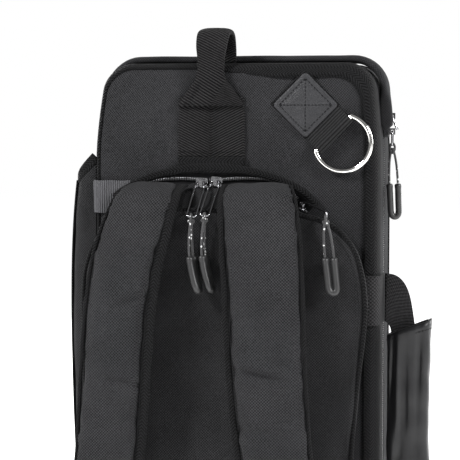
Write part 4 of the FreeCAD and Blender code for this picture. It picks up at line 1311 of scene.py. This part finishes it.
def make_side_handle():
    for name, height in (("high", 300), ("low", 125)):
        line = smooth([at(x, y, height) for x, y in ANCHOR_ROUTE], 2)
        nodes = ["side_handle_anchors"] if name == "high" else []
        band(f"side_anchor_{name}", line, Z, oval(42, 1.8, 7, 28), (WEBBING, "webbing"), *nodes,
             wave=(0.5, 14, 2))
    sides = []
    for edge in (GRIP_OUTER, GRIP_INNER):
        line = smooth([at(x, GRIP_DEPTH, z) for x, z in edge], 0.5)
        sides.append([line[round(share * (len(line) - 1))] for share in even(0, 1, GRIP_STEPS)])
    rows = []
    for a, b in zip(*sides):
        middle = (a + b) / 2
        half = (a - b) / 2
        across = half.normalized()
        rows.append([middle + across * s + Y * d
                     for s, d in oval(half.length * 2, 2.6 * MM, 7, 30)])
    strap = tidy_surface(skin("side_handle_strap", rows, around=True, cap=True))
    ruffle(strap, 0.7, 20, seed=12)
    dress(strap, "side_handle", WEBBING, "webbing", "side_handle_webbing")
    make_sleeve()


SLEEVE_X = 146
SLEEVE_LOW = 147
SLEEVE_HIGH = 275
SLEEVE_TILT = 0.36
SLEEVE_WALL = 4.4
SLEEVE_FOLDS = [
    ((133, -28, 238), (0.05, 0, 1), 34, 2.4, -3.4),
    ((137.5, -28, 225), (-0.03, 0, 1), 44, 3.0, 2.5),
    ((143, -28, 232), (0.04, 0, 1), 38, 2.6, -3.6),
    ((149, -28, 215), (-0.05, 0, 1), 44, 3.4, 2.8),
    ((155, -28, 238), (0.03, 0, 1), 34, 2.6, -2.8),
    ((140, -28, 180), (0.1, 0, 1), 26, 3.4, -2.5),
    ((152, -28, 176), (-0.1, 0, 1), 26, 3.4, -2.2),
]


def make_sleeve():
    """The leatherette sleeve round the side handle, open at both ends."""
    rows = []
    heights = even(SLEEVE_LOW, SLEEVE_HIGH, 34)
    for wall, run in ((0, heights), (SLEEVE_WALL, heights[::-1])):
        for z in run:
            share = (z - SLEEVE_LOW) / (SLEEVE_HIGH - SLEEVE_LOW)
            flare = 1.2 * share ** 4 - 1.0 * math.sin(math.pi * share)
            end = 0.6 if z in (heights[0], heights[-1]) else 0
            section = oval(37 + flare * 1.4 - wall - end, 21.5 + flare - wall - end, 3.2, 56)
            tilt = SLEEVE_TILT * max(0, 2 * share - 1) ** 2
            rows.append([at(SLEEVE_X + a, GRIP_DEPTH + b, z + tilt * a) for a, b in section])
    piece = tidy_surface(skin("side_sleeve", rows, around=True, looped=True))
    ruffle(piece, 1.5, 22, seed=14)
    fold(piece, SLEEVE_FOLDS)
    box_uvs(piece)
    dress(piece, "side_handle", SLEEVE_LEATHER, "leatherette", "side_handle_sleeve")
    for name, z, tilt in (("top", SLEEVE_HIGH - 6, SLEEVE_TILT * 0.8),
                          ("bottom", SLEEVE_LOW + 6, 0)):
        ring = [at(SLEEVE_X + a, GRIP_DEPTH + b, z + tilt * a)
                for a, b in oval(38.4, 22.2, 3.2, 120)]
        middle = at(SLEEVE_X, GRIP_DEPTH, z)
        stitch(f"sleeve_stitches_{name}", ring + ring[:1],
               lambda point, middle=middle: (point - middle).normalized(), "side_handle",
               "leatherette")


POUCH_BULGE = 26
POUCH_LOW = 90
POUCH_NEAR = -46
POUCH_FAR = -4
POUCH_MOUTH = 419


def pouch_point(share, level, inner=0.0):
    """A point of the side pocket: share runs round it from its near edge to its far one,
    and level from its foot to its mouth."""
    turn = math.pi * share
    shape = 1 - 0.30 * (1 - level) ** 3 - 0.24 * level ** 7
    out = abs(math.sin(turn)) ** 0.7 * (POUCH_BULGE * shape - inner)
    half = (POUCH_FAR - POUCH_NEAR) / 2 - inner
    turned = math.copysign(abs(math.cos(turn)) ** 0.8, math.cos(turn))
    depth = (POUCH_FAR + POUCH_NEAR) / 2 - turned * half
    mouth = POUCH_MOUTH - 26 * min(1, out / 25)
    return at(-HALF_WIDTH - 0.4 - out, depth, POUCH_LOW + (mouth - POUCH_LOW) * level)


def make_side_pocket():
    levels = even(0, 1, 44)
    shares = even(0, 1, 36)
    rows = [[pouch_point(share, level) for share in shares] for level in levels]
    rows += [[pouch_point(share, level, 1.6) for share in shares] for level in levels[::-1]]
    piece = tidy_surface(skin("side_pouch", rows, looped=True))
    ruffle(piece, 2.2, 35, seed=21, weight=lambda place: clamp((-0.1235 - place.x) / 0.008))
    box_uvs(piece)
    dress(piece, "case", SHADED_POCKET_NYLON, "case_fabric", "side_pocket_shell")
    mouth = [pouch_point(share, 1.0, 0.6) for share in shares]
    band("side_pouch_rim", paced(mouth, 1.5), Z, oval(9, 3.4, 3, 18), BOUND)
    seam = [pouch_point(0.42, level, -0.8) for level in levels]
    band("side_pouch_seam", seam, Y, oval(6, 2.2, 3, 18), BOUND)


# ---- front pocket on the cover ----

FRONT_ZIP = 364


def make_front_pocket():
    outline = rounded_rectangle(-95, 95, 60, 390, [24] * 4)
    profile = panel(0.93, 57.4, 2.2)
    profile += [(0.96, 57.2), (0.985, 56), (1, 53.5), (1.002, 50), (1, 46), (0.99, 45.4),
                (0.97, 45.8), (0.975, 52), (0.9, 55.2), (0, 57)]
    piece = shell("front_pocket", outline, (0, 155, 295), profile)
    ruffle(piece, 1.8, 50, seed=31,
           weight=lambda place: 1 if place.y > 0.056 and place.z < 0.345 else 0.2)
    dress(piece, "cover", SHADED_POCKET_NYLON, "case_fabric", "front_pocket_shell")
    band("front_piping", [at(x, 55.6, z) for x, z in outline], Y, oval(3.6, 3.6, 2, 12), BOUND,
         body="cover", looped=True)
    line = paced([at(-80, 59.2, FRONT_ZIP), at(80, 59.2, FRONT_ZIP)], 4)
    band("front_zip_tape", line, Z, oval(16, 1.0, 7, 20), TAPE_LOOK, "front_pocket_zip_chain",
         body="cover")
    line = [at(-79, 60.2, FRONT_ZIP), at(79, 60.2, FRONT_ZIP)]
    zip_teeth("front_zip_teeth", line, 1.25, (4.4, 0.85, 1.5), lambda ahead: Z, "cover")
    for name, z in (("low", FRONT_ZIP - 7), ("high", FRONT_ZIP + 7)):
        stitch(f"front_stitches_{name}", [at(-80, 59.9, z), at(80, 59.9, z)], Y, "cover")


# ---- inside ----

def make_board(name, face, back, body, node):
    """A foam board in brushed lining."""
    outline = rounded_rectangle(-107.5, 107.5, 14.5, 477.5, [14] * 4, step=12)
    middle = (face + back) / 2
    lift = (face - back) / 2
    profile = panel(0.94, middle + lift * 0.96, 0, 8)
    profile += [(share, middle + lift * part) for share, part in
                ((0.975, 0.8), (1, 0.2), (1, -0.2), (0.975, -0.8), (0.94, -1), (0, -1))]
    piece = shell(name, outline, (0, 122, 370), profile)
    dress(piece, body, LINING, "lining_foam", node)


TUBE_PITCH = 39.6
TUBE_COUNT = 5
TUBE_FIRST = -99
TUBE_DEPTH = 13.4


def make_stick_sleeves(name, back, low, high, node):
    """Five upright sleeves side by side, open at the top, with a bound edge."""
    middle_y = back + 7
    heights = even(low, high, 20)
    for k in range(TUBE_COUNT):
        middle_x = TUBE_FIRST + TUBE_PITCH * (k + 0.5)
        rows = [[at(middle_x, middle_y, low)] * 36]
        for wall, run in ((0, heights), (2.0, heights[::-1])):
            for z in run:
                level = (z - low) / (high - low)
                wide = (TUBE_PITCH - 0.6) * (1 - 0.03 * math.sin(math.pi * level)) - wall
                rise = 3 if wall and z == low else 0
                rows.append([at(middle_x + a, middle_y + b, z + rise)
                             for a, b in oval(wide, TUBE_DEPTH - wall, 3.4, 36)])
        rows.append([at(middle_x, middle_y, rows[-1][0].z / MM)] * 36)
        piece = tidy_surface(skin(f"{name}_{k + 1}", rows, around=True))
        ruffle(piece, 0.35, 30, seed=40 + k)
        box_uvs(piece)
        dress(piece, "case", LINING, "sleeve_lining", *([node] if k == 0 else []))
        rim = [at(middle_x + a, middle_y + b, high - 1.5)
               for a, b in oval(TUBE_PITCH - 1.6, TUBE_DEPTH - 1, 3.4, 60)]
        band(f"{name}_rim_{k + 1}", rim, Z, oval(5, 1.8, 3, 12), (BINDING, "sleeve_lining"),
             looped=True)


NET_HALF = 88
NET_LOW = 61
NET_HIGH = 239
NET_ACROSS = even(-NET_HALF, NET_HALF, 40)


def make_mesh_pocket():
    rows = []
    for z in even(NET_LOW, NET_HIGH, 24):
        level = (z - NET_LOW) / (NET_HIGH - NET_LOW)
        bulge = 7.5 * math.sin(math.pi * (0.12 + 0.72 * level)) + 1
        rows.append([at(x, 36.4 - bulge * (1 - (abs(x) / NET_HALF) ** 4), z) for x in NET_ACROSS])
    piece = skin("mesh_net", rows)
    thicken(piece, 0.5)
    ruffle(piece, 0.8, 20, seed=51)
    dress(piece, "cover", NET, "mesh", "mesh_pocket")
    corners = [at(x, 35.6, z) for x, z in ((-NET_HALF, 236), (-NET_HALF, 63), (NET_HALF, 63),
                                           (NET_HALF, 236))]
    band("mesh_edge", smooth(corners, 4, 2), Y, oval(2.2, 7, 3, 16), (BINDING, "mesh"),
         body="cover")
    top = [at(x, 36.2 - 5.4 * (1 - (abs(x) / NET_HALF) ** 4), 238) for x in NET_ACROSS]
    band("mesh_elastic", paced(top, 4), Z, oval(7, 2, 3, 16), (BINDING, "mesh"), body="cover")


# ---- hard pieces that stay as they are in CAD ----

def coat_hard_pieces():
    coats = {"d_ring_upper": NICKEL, "d_ring_lower": NICKEL, "ladder_locks": PLASTIC}
    for name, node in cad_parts.items():
        material = ENAMEL if name.startswith(("slider_", "puller_")) else coats.get(name)
        if material:
            for place in node.material_slots:
                place.material = material


# ---- studio ----

LIGHTS_AIM = Vector((0, 0, 0.3))
SKY_LIGHT = 0.25
FLOOR_GLOW = 0.76
FLOOR_HALF = 8
# Each lamp's place, size and power.
LIGHTS = {
    "key": ((-1.35, -1.15, 1.75), 0.6, 72),
    "side": ((1.75, -0.85, 1.35), 0.6, 54),
    "rear_left": ((-1.3, 1.5, 0.9), 1.2, 34),
    "rear_right": ((1.5, 1.4, 0.9), 1.2, 34),
}


def add_light(name, place, size, power):
    data = bpy.data.lights.new(name, "AREA")
    data.shape = "DISK"
    data.size = size
    data.energy = power
    lamp = bpy.data.objects.new(name, data)
    lamp.location = place
    lamp.rotation_euler = (lamp.location - LIGHTS_AIM).to_track_quat("Z", "Y").to_euler()
    bpy.context.scene.collection.objects.link(lamp)


def make_studio():
    """A white background that lights the object with only a part of its strength, a pale
    floor that glows a little, and soft lamps."""
    world = bpy.data.worlds.new("studio")
    bpy.context.scene.world = world
    world.use_nodes = True
    tree = world.node_tree
    backdrop = tree.nodes["Background"]
    backdrop.inputs["Color"].default_value = (1, 1, 1, 1)
    rays = tree.nodes.new("ShaderNodeLightPath")
    seen = Value(tree, rays.outputs["Is Camera Ray"])
    (seen * (1 - SKY_LIGHT) + SKY_LIGHT).feed(backdrop.inputs["Strength"])
    bpy.context.scene.view_settings.view_transform = "Standard"
    floor_material, shader, tree = new_material("floor", (0.9, 0.9, 0.9), 0.9, specular=0.1)
    shade(shader, (0.92, 0.92, 0.92), (0.88, 0.88, 0.88), cloud(tree, 0.4))
    shader.inputs["Emission Color"].default_value = (1, 1, 1, 1)
    shader.inputs["Emission Strength"].default_value = FLOOR_GLOW
    corners = [Vector((x, y, 0)) * FLOOR_HALF for x, y in ((-1, -1), (1, -1), (1, 1), (-1, 1))]
    floor = add_piece("floor", corners, [(0, 1, 2, 3)])
    floor.data.materials.append(floor_material)
    for name, (place, size, power) in LIGHTS.items():
        add_light(name, place, size, power)


make_camera()
make_pulls()
make_back_case()
make_front_case()
make_bindings()
make_main_zip()
make_storm_flap()
make_strap_pocket()
make_pocket_top()
make_arch()
make_left_tab()
for strap_side in ("left", "right"):
    make_strap(strap_side)
    make_strap_webbing(strap_side)
make_top_handle()
make_rings()
make_side_handle()
make_side_pocket()
make_front_pocket()
make_board("back_board", -48, -42, "case", "back_padding")
make_board("cover_board", 43, 37, "cover", "front_padding")
make_stick_sleeves("rear_sleeve", -42, 14, 314, "stick_sleeve_rear")
make_stick_sleeves("front_sleeve", -28, 14, 204, "stick_sleeve_front")
make_mesh_pocket()
coat_hard_pieces()
make_studio()

bpy.context.view_layer.update()
